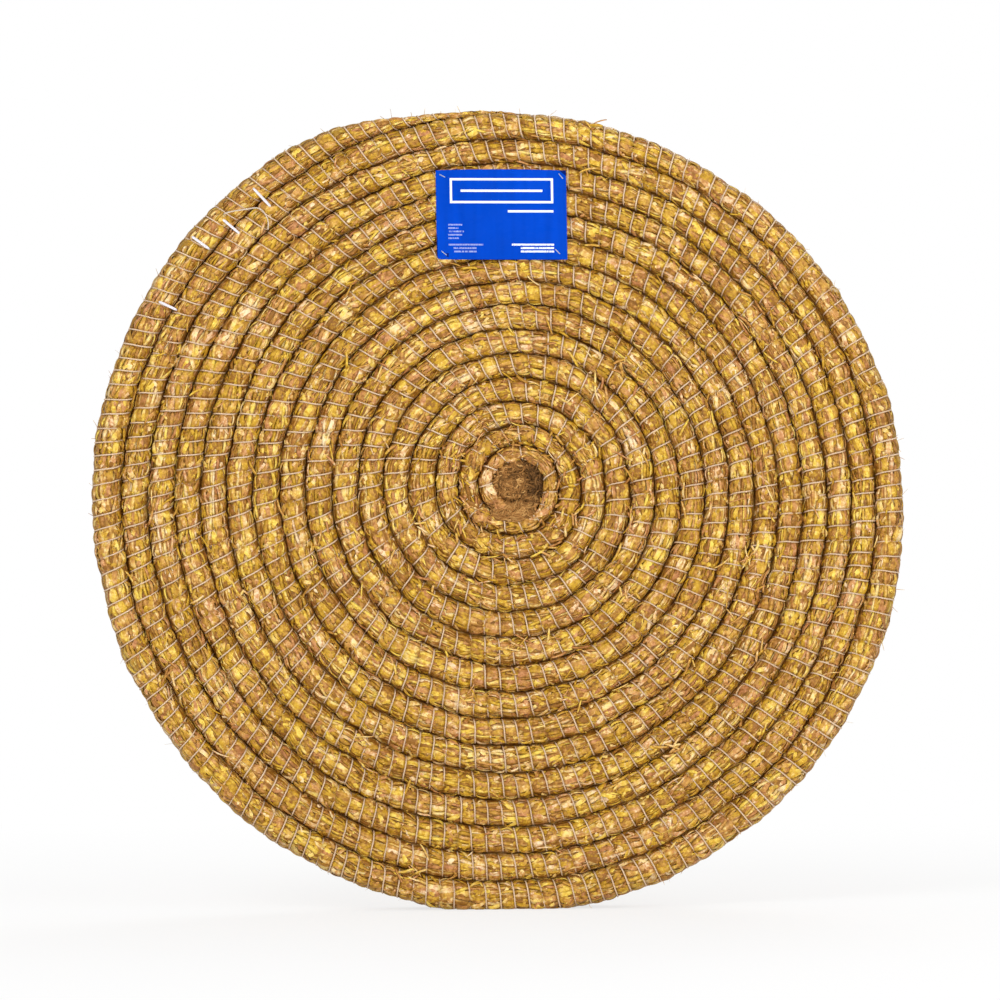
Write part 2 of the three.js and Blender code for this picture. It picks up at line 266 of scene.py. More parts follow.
# The stage: the camera's sensor in millimetres, the farthest that it sees, and half the floor's side.
# The floor glows less round the boss, so that its shadow shows: out to a reach, and then fading out.
SENSOR_WIDTH = 36
FARTHEST_SEEN = 100
FLOOR_HALF = 40.0
SHADOW_REACH = 0.9
SHADOW_FADE = 1.6
GLOW_AT_FOOT = 0.72


def linear(red, green, blue):
    """A colour written in screen values from 0 to 255, as the linear values that Blender keeps."""
    shares = (value / 255 for value in (red, green, blue))
    return tuple(s / 12.92 if s < 0.04045 else ((s + 0.055) / 1.055) ** 2.4 for s in shares)


def colour(name, description, *screen):
    """A colour that a user may change."""
    shown = {"name": name, "description": description, "subtype": "COLOR"}
    return FloatVectorProperty(**shown, size=3, min=0, max=1, default=linear(*screen))


def length(name, description, default):
    """A length that a user may change."""
    return FloatProperty(name=name, description=description, default=default, min=0, unit="LENGTH")


def amount(name, description, default):
    """An amount that a user may change."""
    return FloatProperty(name=name, description=description, default=default, min=0)


def count_of(name, description, default):
    """A number of straws that a user may change."""
    return IntProperty(name=name, description=description, default=default, min=0)


class BossStraw(bpy.types.PropertyGroup):
    """The straw of the rope."""

    puff: length("Puff", "How far the rope swells between two stitches", 0.0038)
    cover: amount("Cover", "Layers of straw over the rope", 3.2)
    crossing: count_of("Crossing", "Straws that lie across turns", 700)
    fringe: count_of("Fringe", "Straws that stick out of the rim", 110)
    seed: IntProperty(name="Seed", description="Start of the random draws", default=7)
    shadow: colour("Shadow", "Straw deep in the rope", 142, 92, 20)
    gold_dark: colour("Dark gold", "Weathered stems", 176, 130, 20)
    gold: colour("Gold", "Most stems", 210, 164, 40)
    gold_bright: colour("Bright gold", "Shiny stems", 243, 211, 90)
    husk_dark: colour("Dark husk", "Weathered leaf", 172, 110, 62)
    husk: colour("Husk", "Most leaf", 207, 147, 92)
    husk_pale: colour("Pale husk", "Bleached leaf", 248, 221, 176)


class BossPlug(bpy.types.PropertyGroup):
    """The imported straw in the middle."""

    dark: colour("Dark", "Between the pressed ends", 92, 60, 20)
    brown: colour("Brown", "Pressed straw", 160, 110, 54)
    pale: colour("Pale", "Torn ends", 214, 168, 102)
    fibres: count_of("Fibres", "Straw ends on each side of the plug", 900)


class BossTwine(bpy.types.PropertyGroup):
    """The twine, its loose tail and the heavy cord."""

    thickness: length("Thickness", "Width of the lashing twine, which is pressed flat", 0.0025)
    pale: colour("Twine", "Lashing twine", 226, 198, 167)
    # Darker twine: less bleached twine, and the painted shade between its strands and in the grooves.
    dull_and_shaded: colour("Twine in shade", "Between the twine's strands", 178, 143, 109)
    tail: colour("Tail", "Weathered loose tail", 216, 202, 184)
    cord: colour("Cord", "Heavy anchor cord", 234, 230, 238)


class BossLabel(bpy.types.PropertyGroup):
    """The label and its staples."""

    film: colour("Film", "Blue plastic film", 0, 69, 194)
    underside: colour("Underside", "The film's back", 8, 30, 100)
    ink: colour("Ink", "Printed lines", 236, 242, 252)
    curl: length("Curl", "How far the two loose corners lift", 0.0050)
    steel: colour("Steel", "Staple wire", 158, 164, 178)


class BossStage(bpy.types.PropertyGroup):
    """The floor, the light and the camera."""

    floor: colour("Floor", "Floor and backdrop", 246, 246, 246)
    lens: amount("Lens", "Focal length in millimetres", 200)
    sky: amount("Sky", "Strength of the light from all round", 0.70)
    key: amount("Key", "Power of the soft lamp at the upper left", 90)
    front: amount("Front", "Power of the lamp by the camera", 100)
    fill: amount("Fill", "Power of the soft lamp at the right", 36)
    rear: amount("Rear", "Power of the lamp behind the boss", 70)


GROUPS = {
    "boss_straw": BossStraw,
    "boss_plug": BossPlug,
    "boss_twine": BossTwine,
    "boss_label": BossLabel,
    "boss_stage": BossStage,
}


# The winding, on arrays of numbers.


def smooth(x, low, high):
    """0 below low, 1 above high and a soft step between."""
    share = np.clip((np.asarray(x, float) - low) / (high - low), 0, 1)
    return share * share * (3 - 2 * share)


def blend(a, b, share):
    """From a to b."""
    return a + (b - a) * share


def ripple(x, waves):
    """Soft, uneven bumps between -1 and 1 along x."""
    return sum(np.sin(TAU * x / wave + shift) for wave, shift in waves) / len(waves)


def angle_of(phase):
    """Angle over the face, anticlockwise from the right."""
    return END_ANGLE + TAU * (TURNS - phase)


def even_edge(phase):
    """Radius of a turn's outer edge, before it wanders."""
    young = 1 - np.minimum(phase, START_TURNS) / START_TURNS
    thinner = (ROPE_PITCH - START_PITCH) * START_TURNS * (1 - young**3) / 3
    thicker = LAST_TURN_EXTRA * smooth(phase, *(TURNS - left for left in LAST_TURN_RISE))
    return START_EDGE + ROPE_PITCH * phase - thinner + thicker


PHASE_STEPS = 8000
PHASES = np.linspace(0, TURNS + WISP_TURNS, PHASE_STEPS)
ARCS = np.concatenate([[0], np.cumsum(TAU * np.diff(PHASES) * (even_edge(PHASES[1:]) - ROPE_PITCH / 2))])
ROPE_LENGTH = ARCS[-1]
LASHINGS = ARCS / STITCH_PITCH + STITCH_SWING * ripple(ARCS, STITCH_WAVES)
LAST_LASHING = np.interp(TURNS, PHASES, LASHINGS) - 0.5
CELL_SEED = 5
CELL_COUNT = math.ceil(LASHINGS[-1]) + 3
CELL_TONES, CELL_HUSKS = np.random.default_rng(CELL_SEED).normal(0, 1, (2, CELL_COUNT))


def phase_at(arc):
    """Turns of rope within an arc."""
    return np.interp(arc, ARCS, PHASES)


def arc_at(phase):
    """Length of rope within a phase."""
    return np.interp(phase, PHASES, ARCS)


def lashed_arc(lashing):
    """Length of rope within a number of stitches."""
    return np.interp(lashing, LASHINGS, ARCS)


def outer_edge(phase):
    """Radius of a turn's outer edge, which wanders most in the first turns."""
    wander = WANDER * (2 - smooth(phase, 1, 5))
    return even_edge(phase) + wander * ripple(arc_at(phase), EDGE_WAVES)


def shoulder(phase):
    """What the wisps of the rope's outer end add to the turn that they run out on."""
    past, top = phase - (TURNS - 1), 0.003
    return SHOULDER * smooth(past, -0.001, top) * (1 - smooth(past, top, SHOULDER_TURNS))


def inner_edge(phase):
    """Radius of a turn's inner edge."""
    grown = outer_edge(1.0) - outer_edge(0.0) - TURN_GAP
    first = outer_edge(phase) - blend(INNER_WIDTH, grown, np.minimum(phase, 1))
    return np.where(phase >= 1, outer_edge(np.maximum(phase, 1) - 1) + TURN_GAP, first)


def rim_shape(phase):
    """How far the rim stands out or in at a phase of the last turn."""
    step = angle_of(phase) * len(RIM_SHAPE) / TAU
    return 0.001 * np.interp(step, np.arange(len(RIM_SHAPE)), RIM_SHAPE, period=len(RIM_SHAPE))


def thinned(phase):
    """0 along the rope and 1 at its thin outer end."""
    return 1 - smooth(TURNS - phase, 0, TAPER_TURNS)


def rope_at(phase):
    """The rope's middle radius, half width and half depth."""
    left = TURNS - phase
    thinning = thinned(phase)
    past = smooth(-left, -WISP_TURNS / 8, WISP_TURNS / 2)
    inner = inner_edge(phase) - TURN_GAP / 2 + past * (shoulder(phase - 1) - TURN_GAP / 2)
    inner = inner - END_OVERLAP * thinning
    at_rim = smooth(phase, TURNS - 1 - TAPER_TURNS, TURNS - 1)
    bared = rim_shape(phase) * smooth(phase, *(TURNS - turns for turns in BARED_TURNS))
    outer = outer_edge(phase) + blend(TURN_GAP / 2, bared - RIM_REST, at_rim) + shoulder(phase)
    outer = inner + blend(outer - inner, blend(TIP_WIDTH, WISP_WIDTH, past), thinning)
    inset = np.where(left > BOUND_TURNS, 0, blend(BOUND_INSET, TIP_INSET, thinning)) + TIP_INSET * past
    return (inner + outer) / 2, (outer - inner) / 2, THICKNESS / 2 - CROWN_REST - inset


def over_face(right, up, level):
    """Points given over the face, as points in the boss's own frame."""
    right, up, level = np.broadcast_arrays(right, up, level)
    cos, sin = math.cos(FOOT_LEAN), math.sin(FOOT_LEAN)
    x = SPIRAL_MIDDLE[0] + right * cos + up * sin
    z = SPIRAL_MIDDLE[1] - right * sin + up * cos
    return np.stack([x, BACK - level, z], axis=-1)


def way_over_face(right, up, rise):
    """Directions given over the face, in the boss's own frame."""
    return over_face(right, up, rise) - over_face(0.0, 0.0, 0.0)


def drifted(radius, angle):
    """Right and up of a point of the winding, whose turns drift away from the spiral's middle."""
    drift = (np.maximum(radius, 0) / RIM_RADIUS) ** DRIFT_POWER
    return radius * np.cos(angle) + RIM_DRIFT[0] * drift, radius * np.sin(angle) + RIM_DRIFT[1] * drift


def placed(radius, angle, level):
    """Points of the winding in the boss's own frame."""
    return over_face(*drifted(radius, angle), level)


def under_label(right, up, margin):
    """1 where a point over the face lies under the label, and 0 outside it."""
    cos, sin = math.cos(-LABEL_TURN), math.sin(-LABEL_TURN)
    dx, dy = right - LABEL_MIDDLE[0], up - LABEL_MIDDLE[1]
    across, along = dx * cos - dy * sin, dx * sin + dy * cos
    aside = smooth(np.abs(across) - LABEL_SIZE[0] / 2, -margin, margin)
    beyond = smooth(np.abs(along) - LABEL_SIZE[1] / 2, -margin, margin)
    return (1 - aside) * (1 - beyond)


def stitch_run(around):
    """How far along the rope the twine has run, in stitches, where it has gone round by an angle."""
    slanted = around - 0.5 * STITCH_SLANT * np.sin(2 * around)
    return slanted / TAU - STITCH_ARCH * np.sin(around) ** 2


def puffed(arc, around):
    """0 at a stitch and 1 between two of them."""
    lashing = np.interp(arc, ARCS, LASHINGS) - stitch_run(around)
    return np.abs(np.sin(math.pi * lashing)) ** PUFF_POWER


def on_rope(arc, around, lift, puff):
    """Points a height over the rope's skin, and the way out of the skin there."""
    phase = phase_at(arc)
    middle, half_width, half_depth = rope_at(phase)
    cos, sin = np.cos(around), np.sin(around)
    power = 2 / SQUARENESS
    across, rise = np.sign(cos) * np.abs(cos) ** power, np.sign(sin) * np.abs(sin) ** power
    out_across = np.sign(cos) * np.abs(cos) ** (2 - power) / half_width
    out_rise = np.sign(sin) * np.abs(sin) ** (2 - power) / half_depth
    size = np.hypot(out_across, out_rise)
    out_across, out_rise = out_across / size, out_rise / size
    at_rim = smooth(phase, TURNS - 1 - TAPER_TURNS, TURNS - 1) * (cos > 0)
    pillow = puff * (1 + PUFF_UNEVENNESS * ripple(arc, PILLOW_WAVES)) * puffed(arc, around)
    lump = LUMP * ripple(arc + LUMP_SLANT * around, LUMP_WAVES)
    firm = 1 - END_SLACK * thinned(phase)
    raised = (pillow + lump) * firm
    aside = (pillow * blend(SIDE_PUFF, 1, at_rim) + lump) * firm * np.abs(sin)
    aside = np.maximum(aside, RIM_PUFF * at_rim * raised)
    radius = middle + half_width * across + (lift + aside) * out_across
    level = THICKNESS / 2 + half_depth * rise + (lift + raised * np.abs(sin)) * out_rise
    angle = angle_of(phase)
    right, up = drifted(radius, angle)
    pressed = np.minimum(level, THICKNESS - LABEL_PRESS)
    level = blend(level, pressed, under_label(right, up, PRESS_MARGIN))
    points = over_face(right, up, level)
    points[..., 2] = np.maximum(points[..., 2], GROUND_CLEARANCE)
    return points, unit(way_over_face(np.cos(angle) * out_across, np.sin(angle) * out_across, out_rise))


def paler(right, up):
    """How much paler the straw is at a point over the face, from -1 to 1."""
    return sum(
        share * np.exp(-((right - x) ** 2 + (up - y) ** 2) / SPOT_REACH**2) for x, y, share in SPOTS
    )


def around_across(across):
    """The angle round the section of a place across the rope's face, from -1 inside to 1 outside."""
    return np.arccos(np.sign(across) * np.abs(across) ** (SQUARENESS / 2))


def around_rise(rise):
    """The angle round the section of a place up the rope's outer side, from -1 at the back to 1."""
    return np.arcsin(np.sign(rise) * np.abs(rise) ** (SQUARENESS / 2))


def unit(vectors):
    """Vectors of length 1."""
    return vectors / np.maximum(np.linalg.norm(vectors, axis=-1, keepdims=True), 1e-12)


# Meshes made of strands.

# How far a strand's husk and its place among its like shift the grain of its finish.
GRAIN_STEPS = (7.3, 0.618)

# A strand's strip of the map: its shape, its margin, its corners, and where the end faces lie in it.
STRIP_SHAPE = 64
MAP_MARGIN = 0.06
STRIP_CORNERS = ((0, 0), (0, 1), (1, 1), (1, 0))
CAP_PLACE = (0, 0.5)


class Strands:
    """Closed strands gathered block by block, each block being an array of strands, rings and sides."""

    def __init__(self):
        self.blocks = []

    def add(self, line, out, width, height, look, sides=4, roll=0.0, rounded=True):
        """Adds strands along lines of points. look holds tone, husk and shade for each point."""
        line = np.asarray(line, float)
        count, rings = line.shape[:2]
        along = unit(np.gradient(line, axis=1))
        side = unit(np.cross(np.broadcast_to(out, line.shape), along))
        up = np.cross(along, side)
        turn = TAU * np.arange(sides) / sides + math.pi / 2
        half_width, half_height, roll = (
            np.broadcast_to(np.asarray(part, float), (count, rings))[..., None]
            for part in (np.asarray(width) / 2, np.asarray(height) / 2, roll)
        )
        a, b = half_width * np.cos(turn), half_height * np.sin(turn)
        a, b = a * np.cos(roll) - b * np.sin(roll), a * np.sin(roll) + b * np.cos(roll)
        skin = line[:, :, None] + a[..., None] * side[:, :, None] + b[..., None] * up[:, :, None]
        steps = np.linalg.norm(np.diff(line, axis=1), axis=-1)
        run = np.concatenate([np.zeros((count, 1)), np.cumsum(steps, axis=1)], axis=1)
        self.add_skin(skin, run, [np.asarray(part, float)[..., None] for part in look], rounded)

    def add_skin(self, skin, run, look, rounded=True):
        """Adds strands whose rings of points are already worked out."""
        count, rings, sides = skin.shape[:3]
        look = np.stack([np.broadcast_to(part, (count, rings, sides)) for part in look], axis=-1)
        grain = np.empty((count, rings, sides, 3))
        grain[..., 0] = run[..., None]
        grain[..., 1] = np.arange(sides) / sides
        grain[..., 2] = look[..., 1] * GRAIN_STEPS[0] + np.arange(count)[:, None, None] * GRAIN_STEPS[1]
        self.blocks.append((skin, look, grain, rounded))

    def mesh(self, name, rings_per_strip=64):
        """One mesh of all the strands, with a strip of the map for each strand or stretch of it."""
        faces, strips, places, rounds = [], [], [], []
        points, strip_count = 0, 0
        for skin, _, _, rounded in self.blocks:
            count, rings, sides = skin.shape[:3]
            faces += [block + points for block in strand_faces(count, rings, sides)]
            strip, place, added = strand_strips(count, rings, sides, rings_per_strip)
            strips.append(strip + strip_count)
            places.append(place)
            rounds.append(np.full(count * (rings - 1) * sides + 2 * count, rounded))
            points += count * rings * sides
            strip_count += added
        columns = max(1, round(math.sqrt(strip_count / STRIP_SHAPE)))
        rows = math.ceil(strip_count / columns)
        strip = np.concatenate(strips)
        inner = MAP_MARGIN + (1 - 2 * MAP_MARGIN) * np.concatenate(places)
        maps = (np.stack([strip % columns, strip // columns], axis=-1) + inner) / (columns, rows)
        skins, looks, grains, _ = zip(*self.blocks, strict=True)
        on_ground = np.maximum(joined(skins), (-np.inf, -np.inf, GROUND_CLEARANCE))
        attributes = {"look": joined(looks), "grain": joined(grains)}
        return filled_mesh(name, on_ground, faces, maps, attributes, np.concatenate(rounds))


def strand_faces(count, rings, sides):
    """The corners of the side faces of strands, then those of their end faces."""
    this, after = np.arange(sides), (np.arange(sides) + 1) % sides
    ring = (np.arange(count)[:, None, None] * rings + np.arange(rings - 1)[:, None]) * sides
    quads = np.stack([ring + this, ring + after, ring + sides + after, ring + sides + this], axis=-1)
    start = (np.arange(count) * rings)[:, None] * sides
    caps = np.stack([start + this[::-1], start + (rings - 1) * sides + this], axis=1)
    return quads, caps.reshape(-1, sides)


def strand_strips(count, rings, sides, per_strip):
    """The strip and the place on it of each corner of strands' faces, and the number of the strips."""
    step, turn = np.meshgrid(np.arange(rings - 1), np.arange(sides), indexing="ij")
    held = min(per_strip, rings - 1)
    per_strand = math.ceil((rings - 1) / per_strip)
    first = np.arange(count) * per_strand
    shape = (count, rings - 1, sides, 4)
    strip = np.broadcast_to((first[:, None, None] + step // per_strip)[..., None], shape)
    low = np.stack([step % per_strip / held, turn / sides], axis=-1)
    place = low[:, :, None] + np.array(STRIP_CORNERS) * (1 / held, 1 / sides)
    place = np.broadcast_to(place, (*shape, 2))
    caps = np.broadcast_to(CAP_PLACE, (2 * count * sides, 2))
    strips = np.concatenate([strip.ravel(), first.repeat(2 * sides)])
    return strips, np.concatenate([place.reshape(-1, 2), caps]), count * per_strand


def joined(blocks):
    """Blocks of vectors as one list of vectors."""
    return np.concatenate([block.reshape(-1, 3) for block in blocks])


def filled_mesh(name, points, faces, uv, attributes, rounded):
    """A mesh of arrays: points, blocks of faces, a place on the map for each corner, and round faces."""
    mesh = bpy.data.meshes.new(name)
    sizes = np.concatenate([np.full(block.size // block.shape[-1], block.shape[-1]) for block in faces])
    corners = np.concatenate([block.ravel() for block in faces])
    mesh.vertices.add(len(points))
    mesh.vertices.foreach_set("co", np.ascontiguousarray(points, np.float32).ravel())
    mesh.loops.add(len(corners))
    mesh.loops.foreach_set("vertex_index", corners.astype(np.int32))
    mesh.polygons.add(len(sizes))
    mesh.polygons.foreach_set("loop_start", (np.cumsum(sizes) - sizes).astype(np.int32))
    mesh.update(calc_edges=True)
    layer = mesh.uv_layers.new(name="OFBake")
    layer.uv.foreach_set("vector", np.ascontiguousarray(uv, np.float32).ravel())
    for title, values in attributes.items():
        attribute = mesh.attributes.new(title, "FLOAT_VECTOR", "POINT")
        attribute.data.foreach_set("vector", np.ascontiguousarray(values, np.float32).ravel())
    mesh.polygons.foreach_set("use_smooth", rounded)
    mesh.validate()
    return mesh


def linked(data):
    """A new object of the scene, named like its data."""
    made = bpy.data.objects.new(data.name, data)
    bpy.context.scene.collection.objects.link(made)
    return made


def piece(mesh, slot, material, *replaced):
    """An object riding on the boss, with a material, that may stand for a CAD node. Its slot is not
    used.
    """
    made = linked(mesh)
    mesh.materials.append(material)
    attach(made, BODY)
    if replaced:
        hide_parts(*replaced)
    return made


# Materials.


class Value:
    """A node's output that takes part in Python sums: each operation adds its Math node."""

    def __init__(self, finish, socket):
        self.finish = finish
        self.socket = socket

    def math(self, operation, *values):
        sockets = dict(enumerate(values))
        return self.finish.node("ShaderNodeMath", {"operation": operation}, sockets)

    def __add__(self, other):
        return self.math("ADD", self, other)

    def __sub__(self, other):
        return self.math("SUBTRACT", self, other)

    def __rsub__(self, other):
        return self.math("SUBTRACT", other, self)

    def __mul__(self, other):
        return self.math("MULTIPLY", self, other)

    def __truediv__(self, other):
        return self.math("DIVIDE", self, other)

    def __lt__(self, other):
        return self.math("LESS_THAN", self, other)

    def __abs__(self):
        return self.math("ABSOLUTE", self)

    def sine(self):
        return self.math("SINE", self)

    def root(self):
        return self.math("SQRT", self)

    __radd__ = __add__
    __rmul__ = __mul__


class Finish:
    """A material with a Principled shader, whose constants are set on the shader's own sockets."""

    def __init__(self, name, **constants):
        self.material = bpy.data.materials.new(name)
        self.material.use_nodes = True
        self.tree = self.material.node_tree
        self.shader = self.tree.nodes["Principled BSDF"]
        for socket, value in constants.items():
            self.shader.inputs[socket.replace("_", " ")].default_value = value

    def node(self, kind, settings=None, sockets=None, out=0):
        """Adds a node: its settings first, then its sockets' values or links. Returns one output."""
        node = self.tree.nodes.new(kind)
        for key, value in (settings or {}).items():
            if key == "stops":
                self.set_stops(node.color_ramp, value)
            else:
                setattr(node, key, value)
        for key, value in (sockets or {}).items():
            self.join(value, node.inputs[key])
        return Value(self, node.outputs[out])

    def join(self, value, socket):
        """Links a Value to a socket, or writes a plain value on it."""
        if isinstance(value, Value):
            self.tree.links.new(value.socket, socket)
        elif socket.type == "RGBA" and len(value) == 3:
            socket.default_value = (*value, 1)
        else:
            socket.default_value = value

    def set_stops(self, ramp, stops):
        while len(ramp.elements) < len(stops):
            ramp.elements.new(0.5)
        for element, (position, shade) in zip(ramp.elements, stops, strict=True):
            element.position = position
            element.color = (*shade, 1)

    def attribute(self, name):
        return self.node("ShaderNodeAttribute", {"attribute_name": name}, out="Vector")

    def parts(self, vector):
        node = self.node("ShaderNodeSeparateXYZ", sockets={0: vector}).socket.node
        return [Value(self, output) for output in node.outputs]

    def stretched(self, vector, *scale):
        return self.node("ShaderNodeVectorMath", {"operation": "MULTIPLY"}, {0: vector, 1: scale})

    def noise(self, vector, scale, detail=3.0, roughness=0.5):
        values = {"Vector": vector, "Scale": scale, "Detail": detail, "Roughness": roughness}
        return self.node("ShaderNodeTexNoise", sockets=values)

    def place(self):
        return self.node("ShaderNodeTexCoord", out="Object")

    def ramp(self, value, *stops):
        return self.node("ShaderNodeValToRGB", {"stops": stops}, {0: value})

    def mix(self, share, first, second, how="MIX"):
        settings = {"data_type": "RGBA", "blend_type": how}
        return self.node("ShaderNodeMix", settings, {0: share, 6: first, 7: second}, out=2)

    def clamp(self, value):
        return self.node("ShaderNodeClamp", sockets={0: value})

    def bump(self, height, depth, strength):
        """Relief of a depth in metres."""
        sockets = {"Height": height, "Distance": depth, "Strength": strength}
        self.join(self.node("ShaderNodeBump", sockets=sockets), self.shader.inputs["Normal"])

    def paint(self, **sockets):
        for socket, value in sockets.items():
            self.join(value, self.shader.inputs[socket.replace("_", " ")])
        return self.material


def dimmed(colour_parts, share):
    """A share of a colour."""
    return tuple(share * part for part in colour_parts)


def straw_finish(name, settings, deep=False):
    """Stems and leaf from dark to bleached, fine ribs along them, and painted shade towards the grooves.
    """
    finish = Finish(name, Specular_IOR_Level=0.35)
    tone, husk, shade = finish.parts(finish.attribute("look"))
    grain = finish.attribute("grain")
    if deep:
        packed = finish.noise(finish.stretched(grain, 22, 44, 1), 1.0, 1.0)
        tone = finish.clamp((packed - 0.5) * 3.2 + 0.42)
        husk = finish.noise(finish.stretched(grain, 17, 36, 1), 1.0, 1.0)
    ribs = finish.noise(finish.stretched(grain, 18, 9, 1), 3.0, 4.0, 0.6)
    blots = finish.noise(finish.stretched(grain, 170, 1.5, 1), 1.0, 2.0)
    crumples = finish.noise(finish.place(), 190.0, 2.0, 0.55)
    uneven = (ribs - 0.5) * 0.15 + (blots - 0.5) * 1.15 + (crumples - 0.5) * 1.05
    level = finish.clamp(tone + uneven)
    stem = (0.22, settings.gold_dark), (0.6, settings.gold), (1.0, settings.gold_bright)
    leaf = (0.2, settings.husk_dark), (0.58, settings.husk), (1.0, settings.husk_pale)
    stem, leaf = (finish.ramp(level, (0.0, settings.shadow), *stops) for stops in (stem, leaf))
    patches = finish.noise(finish.place(), 110.0, 1.0)
    skin = finish.mix(finish.clamp(husk + (patches - 0.5) * 1.3), stem, leaf)
    # Painted shade: where the look's shade is low, the straw is mixed towards the shadow colour at half.
    skin = finish.mix(shade, dimmed(settings.shadow, 0.5), skin)
    relief = tone * 0.8 + ribs * 0.2 if deep else ribs * 0.1 + blots * 0.5 + crumples * 0.8
    finish.bump(relief, 0.0014, 0.5)
    return finish.paint(Base_Color=skin, Roughness=finish.clamp(0.42 + (ribs - 0.3) * 0.5))


def plug_finish(settings):
    """Dark pressed straw with torn, paler ends, and painted shade where the look's shade is low."""
    finish = Finish("pressed straw", Specular_IOR_Level=0.25)
    tone, _, shade = finish.parts(finish.attribute("look"))
    grain = finish.attribute("grain")
    ribs = finish.noise(finish.stretched(grain, 40, 6, 1), 3.0, 4.0, 0.6)
    level = finish.clamp(tone + (ribs - 0.5) * 0.5)
    skin = finish.ramp(level, (0.0, settings.dark), (0.55, settings.brown), (1.0, settings.pale))
    # Painted shade: where the look's shade is low, the straw is mixed towards the dark colour at 0.3.
    skin = finish.mix(shade, dimmed(settings.dark, 0.3), skin)
    finish.bump(ribs, 0.0006, 0.6)
    return finish.paint(Base_Color=skin, Roughness=finish.clamp(0.7 + (ribs - 0.5) * 0.3))


def twine_finish(name, pale, dull_and_shaded, twist):
    """Plastic twine of thin split tapes, twisted together, with painted shade between its strands."""
    finish = Finish(name, Specular_IOR_Level=0.45)
    bleached, _, shade = finish.parts(finish.attribute("look"))
    along, round_it, _ = finish.parts(finish.attribute("grain"))
    turn = (along * twist + round_it) * TAU
    strands = (turn * 2).sine() * 0.5 + 0.5
    fibres = finish.noise(finish.stretched(finish.attribute("grain"), 160, 8, 1), 3.0, 3.0, 0.6)
    # Bleaching and fibres are the twine's own tone; the twist's stripes are painted shade between
    # strands.
    light = finish.clamp(0.10 + bleached * 0.5 + strands * 0.40 + fibres * 0.5)
    skin = finish.mix(light, dull_and_shaded, pale)
    # Painted shade: where the look's shade is low, the twine is mixed towards its darker colour at 0.25.
    skin = finish.mix(shade, dimmed(dull_and_shaded, 0.25), skin)
    finish.bump(strands * 0.7 + fibres * 0.3, 0.0005, 0.6)
    return finish.paint(Base_Color=skin, Roughness=finish.clamp(0.38 + fibres * 0.25))


def rectangle(x, y, left, bottom, right, top):
    """1 within a rectangle of a flat piece's own coordinates."""
    half_width, half_height = (right - left) / 2, (top - bottom) / 2
    return (abs(x - (left + half_width)) < half_width) * (abs(y - (bottom + half_height)) < half_height)


def film_finish(settings):
    """Smooth blue film with a plain panel, bars and rows, and its underside's darker navy at three
    places.
    """
    finish = Finish("label film", Specular_IOR_Level=0.03)
    place = finish.attribute("place")
    x, y, top = finish.parts(place)
    bold = rectangle(x, y, *PANEL) - rectangle(x, y, *PANEL_INSIDE)
    for bar in BARS:
        bold = bold + rectangle(x, y, *bar)
    fine, strong = 0.0, 0.0
    for row, right in enumerate(SIDE_ROWS_RIGHT):
        bottom = SIDE_ROWS_BOTTOM - SIDE_ROW_PITCH * row
        fine = fine + rectangle(x, y, SIDE_ROWS_LEFT, bottom, right, bottom + SIDE_ROW_HEIGHT)
    for row in range(FOOT_ROWS):
        bottom = FOOT_ROWS_BOTTOM - FOOT_ROW_PITCH * row
        left, right, strong_left = FOOT_ROW_ENDS[min(row, 1)]
        fine = fine + rectangle(x, y, left, bottom, right, bottom + FOOT_ROW_HEIGHT)
        strong = strong + rectangle(x, y, strong_left, bottom, BOLD_ROWS_RIGHT, bottom + BOLD_ROW_HEIGHT)
    broken = finish.noise(finish.stretched(place, 900, 130, 1), 1.0, 1.0)
    faint = finish.clamp((broken - 0.36) * 9) * 0.34
    ink = bold + fine * faint + strong * finish.clamp((broken - 0.32) * 8)
    tint = finish.noise(place, 9.0, 2.0) + finish.noise(finish.stretched(place, 75, 8, 1), 1.0, 1.0)
    film = finish.mix(finish.clamp(tint * 1.4 - 0.9), dimmed(settings.film, 0.8), settings.film)
    skin = finish.mix(finish.clamp(ink), film, settings.ink)
    # Marks in the underside's navy: a corner past a slant, a strip by the left edge and a patch by a
    # staple.
    dark_corner = finish.clamp((x + y * DARK_CORNER_SLANT - DARK_CORNER_PLACE) * 700)
    edge = finish.clamp((DARK_EDGE_END[0] - x) * 900) * finish.clamp((DARK_EDGE_END[1] - y) * 120)
    dark_patch = rectangle(x, y, *DARK_PATCH) * 0.8
    skin = finish.mix(finish.clamp(dark_corner + edge + dark_patch), skin, settings.underside)
    skin = finish.mix(top, settings.underside, skin)
    creases = finish.noise(finish.stretched(place, 1, 2.2, 1), 26.0, 3.0, 0.55)
    finish.bump(creases, 0.0018, 0.35)
    return finish.paint(Base_Color=skin, Roughness=finish.clamp(0.18 + creases * 0.20))


def steel_finish(settings):
    """Drawn, zinc-coated staple wire."""
    finish = Finish("staple steel", Metallic=1.0)
    scratches = finish.noise(finish.place(), 1800.0, 3.0, 0.6)
    skin = finish.mix(scratches, dimmed(settings.steel, 0.75), settings.steel)
    finish.bump(scratches, 0.0001, 0.4)
    return finish.paint(Base_Color=skin, Roughness=finish.clamp(0.3 + scratches * 0.2))


